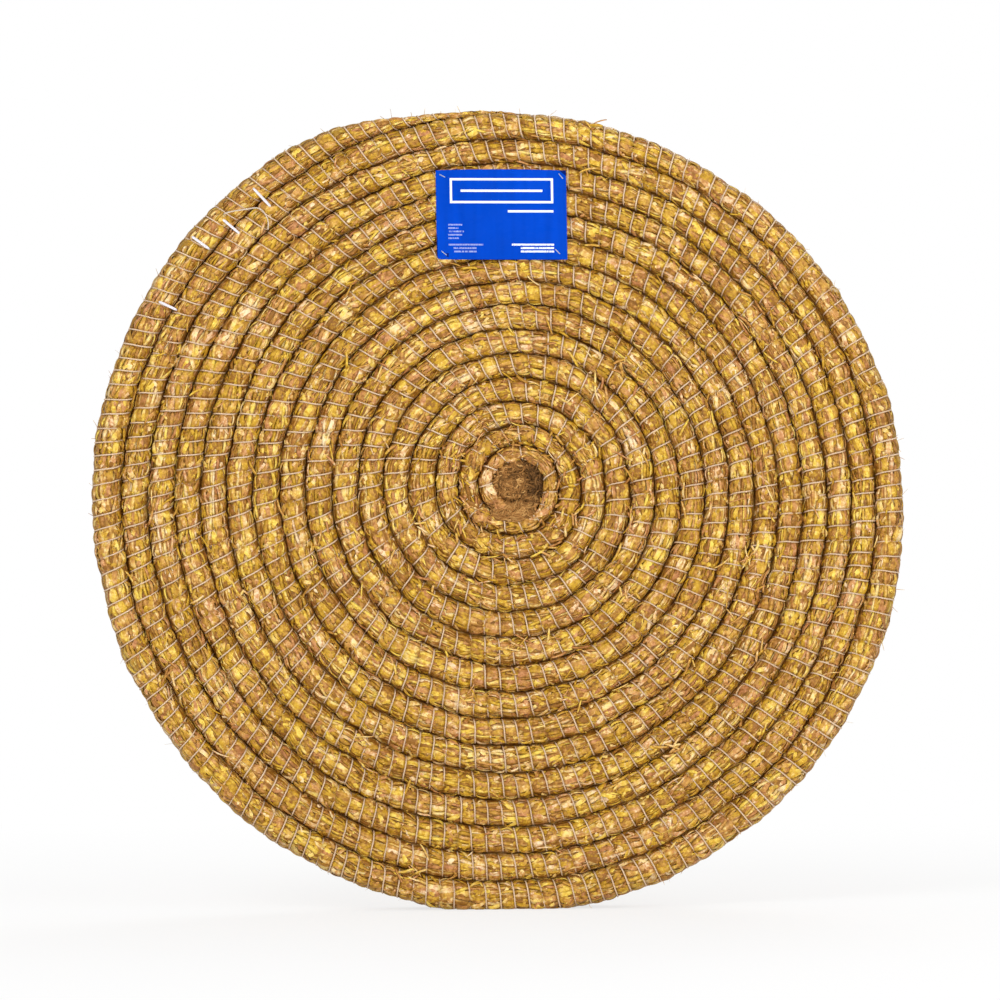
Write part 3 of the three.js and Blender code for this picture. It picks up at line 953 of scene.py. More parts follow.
def floor_finish(settings):
    """A pale floor that shows white to the camera and keeps a soft shadow."""
    finish = Finish("stage floor", Roughness=0.9)
    rays = finish.node("ShaderNodeLightPath").socket.node.outputs
    seen = [Value(finish, rays[f"Is {kind} Ray"]) for kind in ("Camera", "Glossy", "Transmission")]
    glow = finish.node("ShaderNodeEmission", sockets={"Color": (1, 1, 1), "Strength": 1.0})
    lit = Value(finish, finish.shader.outputs[0])
    finish.paint(Base_Color=tuple(settings.floor))
    x, y, _ = finish.parts(finish.place())
    away = finish.clamp(((x * x + y * y).root() - SHADOW_REACH) / SHADOW_FADE)
    share = finish.clamp(seen[0] + seen[1] + seen[2]) * (GLOW_AT_FOOT + away * (1 - GLOW_AT_FOOT))
    mixed = finish.node("ShaderNodeMixShader", sockets={0: share, 1: lit, 2: glow})
    finish.join(mixed, finish.tree.nodes["Material Output"].inputs["Surface"])
    return finish.material


# Straw laid on the rope.

# Kinds of straw: rings on each, least and most width, lean from the rope's run and share of the cover.
CHAFF = (4, (0.0042, 0.0085), 0.85, 0.32)
FLAKE = (8, (0.0064, 0.0115), 0.26, 0.36)
SHORT = (13, (0.0056, 0.0095), 0.16, 0.18)
STEM = (19, (0.0046, 0.0076), 0.10, 0.08)
LONG = (27, (0.0034, 0.0056), 0.06, 0.06)
STRAW_KINDS = (CHAFF, FLAKE, SHORT, STEM, LONG)
RINGS_PER_STITCH = 5
STRAW_FLATNESS = 0.16

# How straws lie: the part of a ring that an end may fall short, and their greatest lean, bend and roll.
END_CUT = 0.8
LEAN_LIMIT = 2.5
STRAW_BEND = 1.2
STRAW_ROLL = 0.14

# The first turns are frayed: their straws lean more, less and less so between these two turns.
FRAYED_TURNS = (0.8, 2.5)
FRAYED_LEAN = 1.6

# Where straws lie over the rim or across the face, as shares of the half depth or the half width.
RIM_BAND = 0.95
RIM_LIMIT = 0.97
FACE_BAND = 1.02
FACE_LIMIT = 0.985

# Heights over the rope's skin: where the twine pinches it, between two stitches, and of the ends.
PINCHED_LIFT = -0.0014
LIFTS = (-0.0013, 0.0007)
END_TUCK = 0.0018

# How tone and husk are drawn, and how much they change along the rope, from stitch to stitch and at the
# spots, and the painted light that makes straw paler down the rope's sides, lifting the grooves' shade.
TONE_DRAW = (1.7, 1.8)
HUSK_POWER = 1.8
TONE_SWING = 0.08
CELL_TONE = 0.05
CELL_HUSK = 0.12
SIDE_PAINTED_LIGHT = 0.28
SPOT_TONE = 0.45
SPOT_HUSK = 0.6

# How much painted shade darkens straws down the rope's sides, over the rim and under the twine.
SIDE_SHADE = 0.08
RIM_SHADE = 0.45
PINCHED_SHADE = 0.46


def spread(draws, count, low, high):
    """Random numbers in a column, one for each strand."""
    return draws.uniform(low, high, count)[:, None]


def bell(draws, count, middle, width):
    """Random numbers round a middle, in a column."""
    return draws.normal(middle, width, count)[:, None]


def laid_along(right, up, heading, run):
    """Right and up of the rings of straws, a run along their heading from their own middles."""
    return right + run * np.cos(heading), up + run * np.sin(heading)


def straw_run(draws, stretch, where, kind, count):
    """Where the rings of straws lie along the rope, in stitches: one at every stitch that they pass."""
    rings = kind[0]
    first, last = np.interp(stretch, ARCS, LASHINGS) * RINGS_PER_STITCH
    end = LASHINGS[-1] * RINGS_PER_STITCH
    low = max(math.ceil(first) - rings // 2, 1 if where == "face" else 4)
    high = min(math.floor(last) - rings // 2, int(end) - rings - 3)
    start = draws.integers(low, high, count)[:, None]
    if kind in (FLAKE, SHORT):
        start = np.maximum(start // RINGS_PER_STITCH * RINGS_PER_STITCH - 1, low)
    head = spread(draws, count, 0, END_CUT)
    tail = rings - 1 - spread(draws, count, 0, END_CUT)
    between = np.tile(np.arange(1.0, rings - 1), (count, 1))
    return (start + np.concatenate([head, between, tail], axis=1)) / RINGS_PER_STITCH


def straw_colours(draws, arc, lashing, where):
    """Tone and husk of straws, which change from stitch to stitch. At the middle they are matted."""
    count = len(arc)
    tone = draws.beta(*TONE_DRAW, count)[:, None] + TONE_SWING * ripple(arc, SHADE_WAVES)
    husk = (draws.uniform(0, 1, count) ** HUSK_POWER)[:, None]
    cell = np.clip(lashing, 0, LASHINGS[-1]).astype(int) + (1 if where == "face" else 2)
    tone = tone + CELL_TONE * CELL_TONES[cell]
    husk = np.clip(husk + CELL_HUSK * CELL_HUSKS[cell], 0, 1)
    matted = np.maximum(1 - smooth(arc, 0.022, 0.045), 0.45 - 0.45 * smooth(phase_at(arc), 0.6, 1.5))
    return np.clip(blend(tone, 0.12 + 0.35 * tone, matted), 0, 1), blend(husk, 0.75, matted)


def laid_straws(strands, draws, settings, stretch, where, kind, count):
    """Lays one kind of straw on a stretch of the rope: on its face, its back or its rim."""
    rings, widths, leaning, _ = kind
    lashing = straw_run(draws, stretch, where, kind, count)
    arc = lashed_arc(lashing)
    middle = arc.mean(axis=1, keepdims=True)
    lean = np.clip(bell(draws, count, 0, leaning), -LEAN_LIMIT * leaning, LEAN_LIMIT * leaning)
    frayed = 1 - smooth(phase_at(middle), *FRAYED_TURNS)
    lean = lean * (1 + FRAYED_LEAN * frayed)
    bend = spread(draws, count, -STRAW_BEND, STRAW_BEND)
    aside = (arc - middle) * np.sin(lean) + bend * (arc - middle) ** 2
    _, half_width, half_depth = rope_at(phase_at(middle))
    if where == "rim":
        rise = spread(draws, count, -RIM_BAND, RIM_BAND) + aside / half_depth
        rise = np.clip(rise, -RIM_LIMIT, RIM_LIMIT)
        around = around_rise(rise)
        depth, outer, pale = np.abs(rise) * 0.3, 0.9, 0.0
    else:
        across = spread(draws, count, -FACE_BAND, FACE_BAND) + aside / half_width
        across = np.clip(across, -FACE_LIMIT, FACE_LIMIT)
        around = around_across(across) * (-1 if where == "back" else 1)
        depth = smooth(np.abs(across), 0.66, 1.0)
        phase = phase_at(arc)
        outer = smooth(phase, TURNS - 1.02, TURNS - 1) * smooth(across, 0.45, 1.0)
        outer = outer * (0.4 + 0.6 * (where == "back"))
        pale = paler(*drifted(rope_at(phase)[0] + half_width * across, angle_of(phase)))
    arc = lashed_arc(lashing + stitch_run(around))
    run = np.linspace(-1, 1, rings)[None, :]
    puff = puffed(arc, around)
    height = spread(draws, count, *LIFTS) * (1 + frayed)
    lift = blend(PINCHED_LIFT, height, puff) - END_TUCK * np.abs(run) ** 5
    points, out = on_rope(arc, around, lift, settings.puff)
    tone, husk = straw_colours(draws, arc, lashing, where)
    # Painted light makes straw paler down the rope's sides, away from the rim; spots are its own
    # bleaching.
    tone = np.clip(tone + SIDE_PAINTED_LIGHT * depth * (1 - outer) + SPOT_TONE * pale, 0, 1)
    husk = np.clip(husk + SPOT_HUSK * pale, 0, 1)
    # Painted shade: darker down the rope's sides, on the rim's outside and where the twine pinches.
    outer = outer * (1 - 0.8 * thinned(phase_at(arc)))
    shade = (1 - SIDE_SHADE * depth) * (1 - RIM_SHADE * outer) * (1 - PINCHED_SHADE * (1 - puff))
    width = spread(draws, count, *widths) * (1 - 0.45 * np.abs(run) ** 4)
    roll = spread(draws, count, -STRAW_ROLL, STRAW_ROLL)
    round_skin = kind not in (CHAFF, FLAKE)
    look = (tone, husk, shade)
    strands.add(points, out, width, width * STRAW_FLATNESS, look, sides=3, roll=roll, rounded=round_skin)


def straw_stretch(name, settings, stretch, where, cover, material, seed):
    """All kinds of straw on one stretch of the rope, as one piece with a share of the usual cover."""
    draws = np.random.default_rng(seed)
    strands = Strands()
    breadth = THICKNESS if where == "rim" else ROPE_PITCH
    area = (stretch[1] - stretch[0]) * breadth * (settings.cover * cover)
    for kind in STRAW_KINDS:
        rings, widths, _, share = kind
        one = (rings - 1) * STITCH_PITCH / RINGS_PER_STITCH * sum(widths) / 2
        laid_straws(strands, draws, settings, stretch, where, kind, round(area * share / one))
    return piece(strands.mesh(name), "straw", material)


def rope_core(settings, material):
    """The rope's packed inside, one closed tube under the straws that are laid on it."""
    arc = np.linspace(0, arc_at(TURNS + WISP_TURNS / 2), round(ROPE_LENGTH / CORE_STEP))[None, :, None]
    around = (np.arange(CORE_SIDES) / CORE_SIDES * TAU)[None, None, :]
    facing = smooth(np.abs(np.sin(around)), 0.2, 0.75)
    points, _ = on_rope(arc, around, blend(CORE_SIDE, -CORE_REST, facing), settings.puff)
    # Painted shade: the packed inside is darker where the twine pinches it and down its sides.
    shade = blend(0.75, 1, puffed(arc, around)) * blend(0.8, 1, facing)
    strands = Strands()
    strands.add_skin(points, arc[..., 0], (0.5, 0.5, shade))
    return piece(strands.mesh("rope_core", rings_per_strip=24), "straw", material, "straw_coil")


# Operators, one for each piece or group of like pieces.


class BossOperator:
    """What the boss's operators share."""

    bl_options = {"REGISTER", "UNDO"}

    def execute(self, context):
        self.make(context.scene)
        return {"FINISHED"}


class BOSS_OT_stage(BossOperator, bpy.types.Operator):
    """Adds the camera, the floor and the light"""

    bl_idname = "boss.stage"
    bl_label = "Stage and Camera"

    def make(self, scene):
        settings = scene.boss_stage
        self.add_camera(scene, settings)
        self.add_floor(settings)
        self.add_light(scene, settings)
        scene.view_settings.view_transform = "Standard"

    def add_camera(self, scene, settings):
        """Aims at the middle of the photograph's frame, square to the face."""
        camera = bpy.data.cameras.new("camera")
        camera.lens = settings.lens
        camera.sensor_width = SENSOR_WIDTH
        made = linked(camera)
        seen = FRAME_PIXELS * METRES_PER_PIXEL
        away = seen * camera.lens / camera.sensor_width
        right = (FRAME_PIXELS / 2 - SPIRAL_MIDDLE_PIXEL[0]) * METRES_PER_PIXEL
        up = (SPIRAL_MIDDLE_PIXEL[1] - FRAME_PIXELS / 2) * METRES_PER_PIXEL
        aim = over_face(right, up, THICKNESS + away)
        upright = Matrix.Rotation(math.pi / 2, 4, "X")
        lean = Matrix.Rotation(-FOOT_LEAN, 4, "Z")
        made.matrix_world = Matrix.Translation(aim.tolist()) @ upright @ lean
        camera.clip_end = FARTHEST_SEEN
        scene.camera = made

    def add_floor(self, settings):
        """A wide flat floor, on the stage and so outside the boss."""
        half = FLOOR_HALF
        corners = [(-half, -half, 0), (half, -half, 0), (half, half, 0), (-half, half, 0)]
        mesh = bpy.data.meshes.new("floor")
        mesh.from_pydata(corners, [], [(0, 1, 2, 3)])
        mesh.materials.append(floor_finish(settings))
        floor = linked(mesh)

    def add_light(self, scene, settings):
        """A soft sky and four wide lamps, and plain white behind the boss."""
        world = bpy.data.worlds.new("soft room")
        world.use_nodes = True
        tree = world.node_tree
        background = tree.nodes["Background"]
        background.inputs["Color"].default_value = (1, 1, 1, 1)
        background.inputs["Strength"].default_value = settings.sky
        rays = tree.nodes.new("ShaderNodeLightPath")
        white = tree.nodes.new("ShaderNodeBackground")
        white.inputs["Color"].default_value = (1, 1, 1, 1)
        mixed = tree.nodes.new("ShaderNodeMixShader")
        tree.links.new(rays.outputs["Is Camera Ray"], mixed.inputs[0])
        tree.links.new(background.outputs[0], mixed.inputs[1])
        tree.links.new(white.outputs[0], mixed.inputs[2])
        tree.links.new(mixed.outputs[0], tree.nodes["World Output"].inputs["Surface"])
        scene.world = world
        target = Vector((0, 0, THICKNESS + SPIRAL_MIDDLE[1]))
        lamps = (
            ("key_lamp", (-2.2, -4.2, 3.6), 2.4, settings.key),
            ("front_lamp", (1.7, -6.2, 0.6), 1.2, settings.front),
            ("fill_lamp", (3.2, -3.8, 1.9), 2.6, settings.fill),
            ("rear_lamp", (1.4, 4.2, 3.4), 2.8, settings.rear),
        )
        for name, place, size, power in lamps:
            lamp = bpy.data.lights.new(name, "AREA")
            lamp.shape = "DISK"
            lamp.size = size
            lamp.energy = power
            made = linked(lamp)
            made.location = place
            made.rotation_euler = (target - Vector(place)).to_track_quat("-Z", "Y").to_euler()


class BOSS_OT_tail(BossOperator, bpy.types.Operator):
    """Adds the loose tail of the twine, a free cord that lies on the face"""

    bl_idname = "boss.tail"
    bl_label = "Loose Tail"

    def make(self, scene):
        settings = scene.boss_twine
        rest = THICKNESS + CLEARANCE + TWINE_DIAMETER / 2
        right, up, lift = np.array(TAIL_ROUTE).T
        route = over_face(right, up, rest + lift)
        fine = curved(route, 8)
        strands = Strands()
        strands.add(fine[None], TOWARD_VIEWER, TWINE_DIAMETER, TWINE_DIAMETER, (0.5, 0.0, 1.0), sides=10)
        material = twine_finish("tail twine", settings.tail, settings.dull_and_shaded, 90)
        tail = piece(strands.mesh("loose_tail"), "twine", material, "twine_tail")


def curved(route, steps):
    """Points of a smooth curve through a route."""
    padded = np.concatenate([2 * route[:1] - route[1:2], route, 2 * route[-1:] - route[-2:-1]])
    share = np.linspace(0, 1, steps, endpoint=False)[:, None]
    runs = []
    for a, b, c, d in zip(padded, padded[1:], padded[2:], padded[3:], strict=False):
        bend = (2 * a - 5 * b + 4 * c - d) * share**2 + (3 * b - a - 3 * c + d) * share**3
        runs.append(b + 0.5 * ((c - a) * share + bend))
    return np.concatenate([*runs, route[-1:]])


class BOSS_OT_rope(BossOperator, bpy.types.Operator):
    """Adds the rope: its packed inside and the straws laid on its face, back and rim"""

    bl_idname = "boss.rope"
    bl_label = "Straw Rope"

    FACE_PIECES = 6
    RIM_PIECES = 2
    BACK_COVER = 0.8
    RIM_COVER = 0.77

    def make(self, scene):
        settings = scene.boss_straw
        straw = straw_finish("laid straw", settings)
        rope_core(settings, straw_finish("packed straw", settings, deep=True))
        for i, stretch in enumerate(stretches(0, self.FACE_PIECES)):
            for where, share in (("face", 1), ("back", self.BACK_COVER)):
                seed = (settings.seed, i, len(where), where == "back")
                straw_stretch(f"{where}_straw_{i + 1}", settings, stretch, where, share, straw, seed)
        for i, stretch in enumerate(stretches(arc_at(TURNS - 1 - TAPER_TURNS), self.RIM_PIECES)):
            seed = (settings.seed + 1, i)
            straw_stretch(f"rim_straw_{i + 1}", settings, stretch, "rim", self.RIM_COVER, straw, seed)


def stretches(start, count):
    """A number of like stretches of the rope, from an arc to its outer end."""
    ends = np.linspace(start, ROPE_LENGTH, count + 1)
    return zip(ends, ends[1:], strict=False)


class BOSS_OT_twine(BossOperator, bpy.types.Operator):
    """Adds the twine that lashes every turn, one wrap after another along the whole rope"""

    bl_idname = "boss.twine"
    bl_label = "Lashing Twine"

    FLATNESS = 0.7
    POINTS_PER_WRAP = 24
    PIECES = 4

    def make(self, scene):
        settings = scene.boss_twine
        wraps = np.arange(0, LAST_LASHING - FIRST_LASHING, 1 / self.POINTS_PER_WRAP)
        around = -TAU * (wraps + math.ceil(LAST_LASHING) - LAST_LASHING)
        arc = lashed_arc(math.ceil(LAST_LASHING) + stitch_run(around))
        young = 1 - smooth(arc, arc_at(3.0), arc_at(6.0))
        arc = arc + STITCH_WANDER * (1 + young) * ripple(wraps, WANDER_WAVES)
        half = settings.thickness * self.FLATNESS / 2
        in_groove = self.in_groove(wraps, around, arc)
        sunk = SINK * smooth(ripple(wraps, SINK_WAVES), -0.2, 0.6)
        sunk = sunk + MIDDLE_SINK * (1 - smooth(arc, arc_at(0.9), arc_at(2.5)))
        lift = blend(half * 0.9 - sunk, -half, in_groove)
        points, out = on_rope(arc, around, lift, scene.boss_straw.puff)
        # Painted shade: the twine is darker where it runs down into a groove.
        shade = 1 - 0.5 * in_groove
        bleached = 0.5 + 0.5 * ripple(wraps, BLEACH_WAVES)
        material = twine_finish("lashing twine", settings.pale, settings.dull_and_shaded, 120)
        share = len(arc) // self.PIECES
        width = settings.thickness
        for i in range(self.PIECES):
            last = i == self.PIECES - 1
            part = slice(i * share, len(arc) if last else (i + 1) * share + 1)
            strands = Strands()
            look = (bleached[None, part], 0.0, shade[None, part])
            strands.add(points[None, part], out[None, part], width, width * self.FLATNESS, look, sides=6)
            mesh = strands.mesh(f"lashing_twine_{i + 1}", rings_per_strip=self.POINTS_PER_WRAP)
            piece(mesh, "twine", material, *(["binding_twine"] if i == 0 else []))

    def in_groove(self, wraps, around, arc):
        """1 where the twine runs down into a groove between two turns, and 0 over the face."""
        rim = smooth(arc, arc_at(TURNS - 1 - TAPER_TURNS), arc_at(TURNS - 1))
        reach = REACH + REACH_SWING * ripple(wraps, REACH_WAVES)
        bare = 1 - rim * (np.cos(around) > 0)
        return smooth(np.abs(np.cos(around)), reach, reach + GROOVE_STEP) * bare


class BOSS_OT_anchors(BossOperator, bpy.types.Operator):
    """Adds the four heavy cord stitches that hold the rope's outer end"""

    bl_idname = "boss.anchors"
    bl_label = "Anchor Stitches"

    def make(self, scene):
        settings = scene.boss_twine
        # The cord's colour dimmed to 0.72 stands for the painted shade between its strands.
        material = twine_finish("anchor cord", settings.cord, dimmed(settings.cord, 0.72), 60)
        for name, degrees, inside, outside in ANCHORS:
            strands = Strands()
            fine = curved(self.route(math.radians(degrees), inside, outside), 10)
            out = np.array([0.3, -1.0, 0.0])
            width = CORD_DIAMETER * (1 - 0.55 * np.abs(np.linspace(-1, 1, len(fine))) ** 2)
            strands.add(fine[None], out, width, width * CORD_FLATNESS, (0.5, 0.0, 1.0), sides=12)
            piece(strands.mesh(f"{name}_cord"), "anchor_cord", material, name)

    def route(self, angle, inside, outside):
        """From a leg's end outside the groove, over the crowns and down inside it."""
        phase = TURNS - 1 - (angle - END_ANGLE) / TAU
        groove = even_edge(phase) + TURN_GAP / 2
        rest = THICKNESS + CORD_DIAMETER / 2 + CLEARANCE
        bend = CORD_DIAMETER
        near, far = groove - inside, groove + outside
        middle = (near + far) / 2
        reach = bend * np.array([0, 0, 0.3, 1.4])
        radius = np.concatenate([far - reach, [middle], (near + reach)[::-1]])
        drop = np.array([ANCHOR_LEG, bend * 1.6, bend * 0.5, 0.0004])
        return placed(radius, angle, rest - np.concatenate([drop, [-0.0004], drop[::-1]]))


class BOSS_OT_plug(BossOperator, bpy.types.Operator):
    """Adds the plug of packed straw in the middle, with its torn ends at the face and the back"""

    bl_idname = "boss.plug"
    bl_label = "Middle Plug"

    # Points round the hole, the lap of its two ends and the gap round the plug. Then the step between
    # the body's rings in its grain, and each ring's share of the hole's reach and its level.
    POINTS_ROUND = 60
    LAP = math.radians(3)
    GAP = 0.0006
    RING_STEP = 0.02
    BODY_RINGS = (
        (0.02, 0.012), (0.6, 0.0125), (0.9, 0.014), (1, 0.020),
        (1, 0.080), (0.9, 0.086), (0.6, 0.0875), (0.02, 0.088),
    )

    # The torn ends: least and most length and width, their usual height over the boss's middle, and how
    # much lower they lie at the plug's edge, at the ends of each straw, in the crack and in the hollow.
    END_LENGTHS = (0.008, 0.024)
    END_WIDTHS = (0.0018, 0.0046)
    HEIGHT = 0.0445
    UNEVEN = (-0.002, 0.0026)
    EDGE_DROP = 0.004
    END_DROP = 0.004
    CRACK = -0.0245
    CRACK_WIDTH = 0.0030
    CRACK_DROP = 0.007
    HOLLOW_DROP = 0.005

    # The matted patch: its middle and half sizes over the face, how far it lies under the crowns, how
    # uneven it is, how far its edge and its straws' ends dip, and their least and most length and width.
    MAT_MIDDLE = (-0.0055, -0.0435)
    MAT_REACH = (0.033, 0.0160)
    MAT_SINK = 0.0012
    MAT_UNEVEN = (-0.0016, 0.0006)
    MAT_EDGE_DIP = 0.006
    MAT_END_DIP = 0.003
    MAT_LENGTHS = (0.006, 0.018)
    MAT_WIDTHS = (0.0016, 0.0040)

    def make(self, scene):
        settings = scene.boss_plug
        material = plug_finish(settings)
        piece(self.body(), "packed_straw", material, "core_plug")
        draws = np.random.default_rng(scene.boss_straw.seed + 11)
        strands = Strands()
        for side in (1, -1):
            self.ends(strands, draws, settings.fibres, side)
        self.mat(strands, draws, settings.fibres // 2)
        piece(strands.mesh("plug_straw"), "packed_straw", material)

    def outline(self, share):
        """Right and up of points round the hole's edge, at a share of its reach."""
        phase = 1 - np.arange(self.POINTS_ROUND) / (self.POINTS_ROUND - 1)
        angle = angle_of(phase) + self.LAP * (2 * phase - 1)
        return drifted((inner_edge(phase) - self.GAP) * share, angle)

    def body(self):
        """A closed core whose two ends are domed."""
        skin = np.array([over_face(*self.outline(share), level) for share, level in self.BODY_RINGS])
        run = np.arange(len(skin))[None] * self.RING_STEP
        strands = Strands()
        # Painted shade: the core under the torn ends is darkened, with a low tone and a shade of 0.55.
        strands.add_skin(skin[None], run, (0.2, 0.0, 0.55))
        return strands.mesh("plug_core")

    def ends(self, strands, draws, count, side):
        """Short torn straws, matted over one end of the plug."""
        run = np.linspace(-0.5, 0.5, 7)[None, :]
        turn = spread(draws, count, 0, TAU)
        phase = np.clip(1 - (turn / TAU), 0.02, 0.98)
        reach = np.sqrt(spread(draws, count, 0, 1))
        right, up = drifted((inner_edge(phase) - 0.002) * reach, angle_of(phase))
        swirl = angle_of(phase) + math.pi / 2 + bell(draws, count, 0, 0.8)
        long = spread(draws, count, *self.END_LENGTHS)
        bend = spread(draws, count, -1.6, 1.6)
        right, up = laid_along(right, up, swirl + bend * run, long * run)
        beside = up - self.CRACK - 0.002 * np.sin(right * 210)
        crack = 0.45 * np.exp(-((beside / self.CRACK_WIDTH) ** 2))
        hollow = smooth(right, 0.010, 0.028) * smooth(up, self.CRACK, self.CRACK + 0.012)
        height = self.HEIGHT + spread(draws, count, *self.UNEVEN)
        height = height - self.EDGE_DROP * reach**4 - self.END_DROP * np.abs(2 * run) ** 3
        height = height - self.CRACK_DROP * crack - self.HOLLOW_DROP * hollow
        line = over_face(right, up, THICKNESS / 2 + side * height)
        width = spread(draws, count, *self.END_WIDTHS)
        # Painted shade: tone and shade drop in the crack and in the hollow at the plug's right.
        tone = np.clip(bell(draws, count, 0.46, 0.22) - 0.3 * hollow - 0.4 * crack, 0, 1)
        look = (tone, 0.0, (1 - 0.5 * hollow) * (1 - 0.6 * crack))
        roll = spread(draws, count, -0.5, 0.5)
        strands.add(line, side * TOWARD_VIEWER, width, width * 0.5, look, roll=roll)

    def mat(self, strands, draws, count):
        """Matted straw pressed flat over the rope's first end, on the face."""
        run = np.linspace(-0.5, 0.5, 6)[None, :]
        turn, reach = spread(draws, count, 0, TAU), np.sqrt(spread(draws, count, 0, 1))
        square = np.maximum(np.abs(np.cos(turn)), np.abs(np.sin(turn))) ** 0.7
        right = self.MAT_MIDDLE[0] + self.MAT_REACH[0] * reach * np.cos(turn) / square
        up = self.MAT_MIDDLE[1] + self.MAT_REACH[1] * reach * np.sin(turn) / square
        heading = bell(draws, count, 0, 0.7) + spread(draws, count, -0.8, 0.8) * run
        right, up = laid_along(right, up, heading, spread(draws, count, *self.MAT_LENGTHS) * run)
        level = THICKNESS - self.MAT_SINK + spread(draws, count, *self.MAT_UNEVEN)
        level = level - self.MAT_EDGE_DIP * reach**6 - self.MAT_END_DIP * np.abs(2 * run) ** 3
        width = spread(draws, count, *self.MAT_WIDTHS)
        tone = np.clip(bell(draws, count, 0.60, 0.10), 0, 1)
        # Painted shade: the mat darkens towards its dipping edge.
        look = (tone, 0.0, 1 - 0.35 * reach**6)
        strands.add(over_face(right, up, level), TOWARD_VIEWER, width, width * 0.4, look)


class BOSS_OT_loose_straws(BossOperator, bpy.types.Operator):
    """Adds the straws that lie across the turns and those that stick out of the rim"""

    bl_idname = "boss.loose_straws"
    bl_label = "Loose Straws"

    # The straws across turns: the shares of the rim's radius within which they lie, all over and by the
    # middle, their least and most length, width and height over the crowns, how far their ends dip, and
    # how far they dip under the label and a margin round it.
    ALL_OVER = (0.05, 0.94)
    BY_MIDDLE = (0.04, 0.11)
    LENGTHS = (0.008, 0.034)
    WIDTHS = (0.0018, 0.0046)
    HEIGHTS = (-0.0018, 0.0010)
    END_DIP = 0.004
    LABEL_DIP = 0.006
    LABEL_MARGIN = 0.006

    # How many straws make a tuft, and how far they lie from its middle, across the turns and along them.
    TUFT_SIZE = 12
    TUFT_REACH = 0.008
    TUFT_WIDTH = 0.010

    # The fringe: least and most length and width, the height of its roots over the rim's skin and the
    # lowest that a straw may hang.
    FRINGE_LENGTHS = (0.008, 0.024)
    FRINGE_WIDTHS = (0.0008, 0.0024)
    ROOT_LIFT = -0.004
    LOWEST = 0.001

    def make(self, scene):
        settings = scene.boss_straw
        material = straw_finish("loose straw", settings)
        draws = np.random.default_rng(settings.seed + 23)
        for side, name in ((1, "crossing_straw_face"), (-1, "crossing_straw_back")):
            strands = Strands()
            self.crossing(strands, draws, settings.crossing, side, self.ALL_OVER)
            self.crossing(strands, draws, settings.crossing // 4, side, self.BY_MIDDLE)
            piece(strands.mesh(name), "straw", material)
        strands = Strands()
        self.fringe(strands, draws, settings.fringe)
        piece(strands.mesh("rim_fringe"), "straw", material)

    def crossing(self, strands, draws, count, side, reach):
        """Straws that lie on the crowns at a slant to the rope, within shares of the rim's radius.

        Half of them lie by themselves, and the others in tufts, each round one of the first straws."""
        run = np.linspace(-0.5, 0.5, 9)[None, :]
        tufts = draws.integers(0, count // self.TUFT_SIZE, count)
        loose = (0.5 + 0.5 * np.sign(draws.uniform(-0.5, 0.5, count)))[:, None]
        radius = RIM_RADIUS * spread(draws, count, *reach) ** 0.75
        radius = blend(radius[tufts] + bell(draws, count, 0, self.TUFT_REACH), radius, loose)
        angle = spread(draws, count, 0, TAU)
        near = angle[tufts] + bell(draws, count, 0, self.TUFT_WIDTH) / np.maximum(radius, 0.05)
        angle = blend(near, angle, loose)
        long = spread(draws, count, *self.LENGTHS) * (1 - 0.45 * np.exp(-((radius / 0.12) ** 4)))
        slant = bell(draws, count, 0, 0.5) * (1 + 0.6 * np.exp(-radius / 0.12))
        heading = angle + math.pi / 2 + slant + spread(draws, count, -0.3, 0.3) * run
        right, up = laid_along(*drifted(radius, angle), heading, long * run)
        height = THICKNESS / 2 + spread(draws, count, *self.HEIGHTS)
        height = height - self.END_DIP * np.abs(2 * run) ** 3
        covered = under_label(right, up, self.LABEL_MARGIN) if side > 0 else 0
        line = over_face(right, up, THICKNESS / 2 + side * (height - self.LABEL_DIP * covered))
        width = spread(draws, count, *self.WIDTHS) * (1 - 0.4 * np.abs(2 * run) ** 4)
        tone = draws.beta(2.2, 2.0, count)[:, None] * (1 - 0.35 * np.exp(-((radius / 0.10) ** 4)))
        husk = (draws.uniform(0, 1, count) ** 1.2)[:, None]
        roll = spread(draws, count, -0.4, 0.4)
        strands.add(line, side * TOWARD_VIEWER, width, width * 0.35, (tone, husk, 1.0), roll=roll)

    def fringe(self, strands, draws, count):
        """Thin straws that stick out of the rim, and none of them into the ground."""
        run = np.linspace(0, 1, 6)[None, :]
        arc = spread(draws, count, arc_at(TURNS - 0.99), ROPE_LENGTH - 0.01)
        around = around_rise(spread(draws, count, -0.9, 0.9))
        root, out = on_rope(arc, around, self.ROOT_LIFT, 0.0)
        angle = angle_of(phase_at(arc))
        along = way_over_face(np.sin(angle), -np.cos(angle), 0.0)
        way = unit(
            out * spread(draws, count, 0.25, 0.9)[..., None]
            + along * bell(draws, count, 0.3, 0.8)[..., None]
            - TOWARD_VIEWER * bell(draws, count, 0, 0.3)[..., None]
        )
        long = spread(draws, count, *self.FRINGE_LENGTHS)[..., None]
        line = root + way * long * run[..., None]
        line = line + out * (spread(draws, count, -0.004, 0.004)[..., None] * run[..., None] ** 2)
        line[..., 2] = np.maximum(line[..., 2], self.LOWEST)
        width = spread(draws, count, *self.FRINGE_WIDTHS) * (1 - 0.6 * run)
        tone = draws.beta(2.0, 1.6, count)[:, None]
        husk = (draws.uniform(0, 1, count) ** 1.2)[:, None]
        strands.add(line, along, width, width * 0.6, (tone, husk, 1.0))


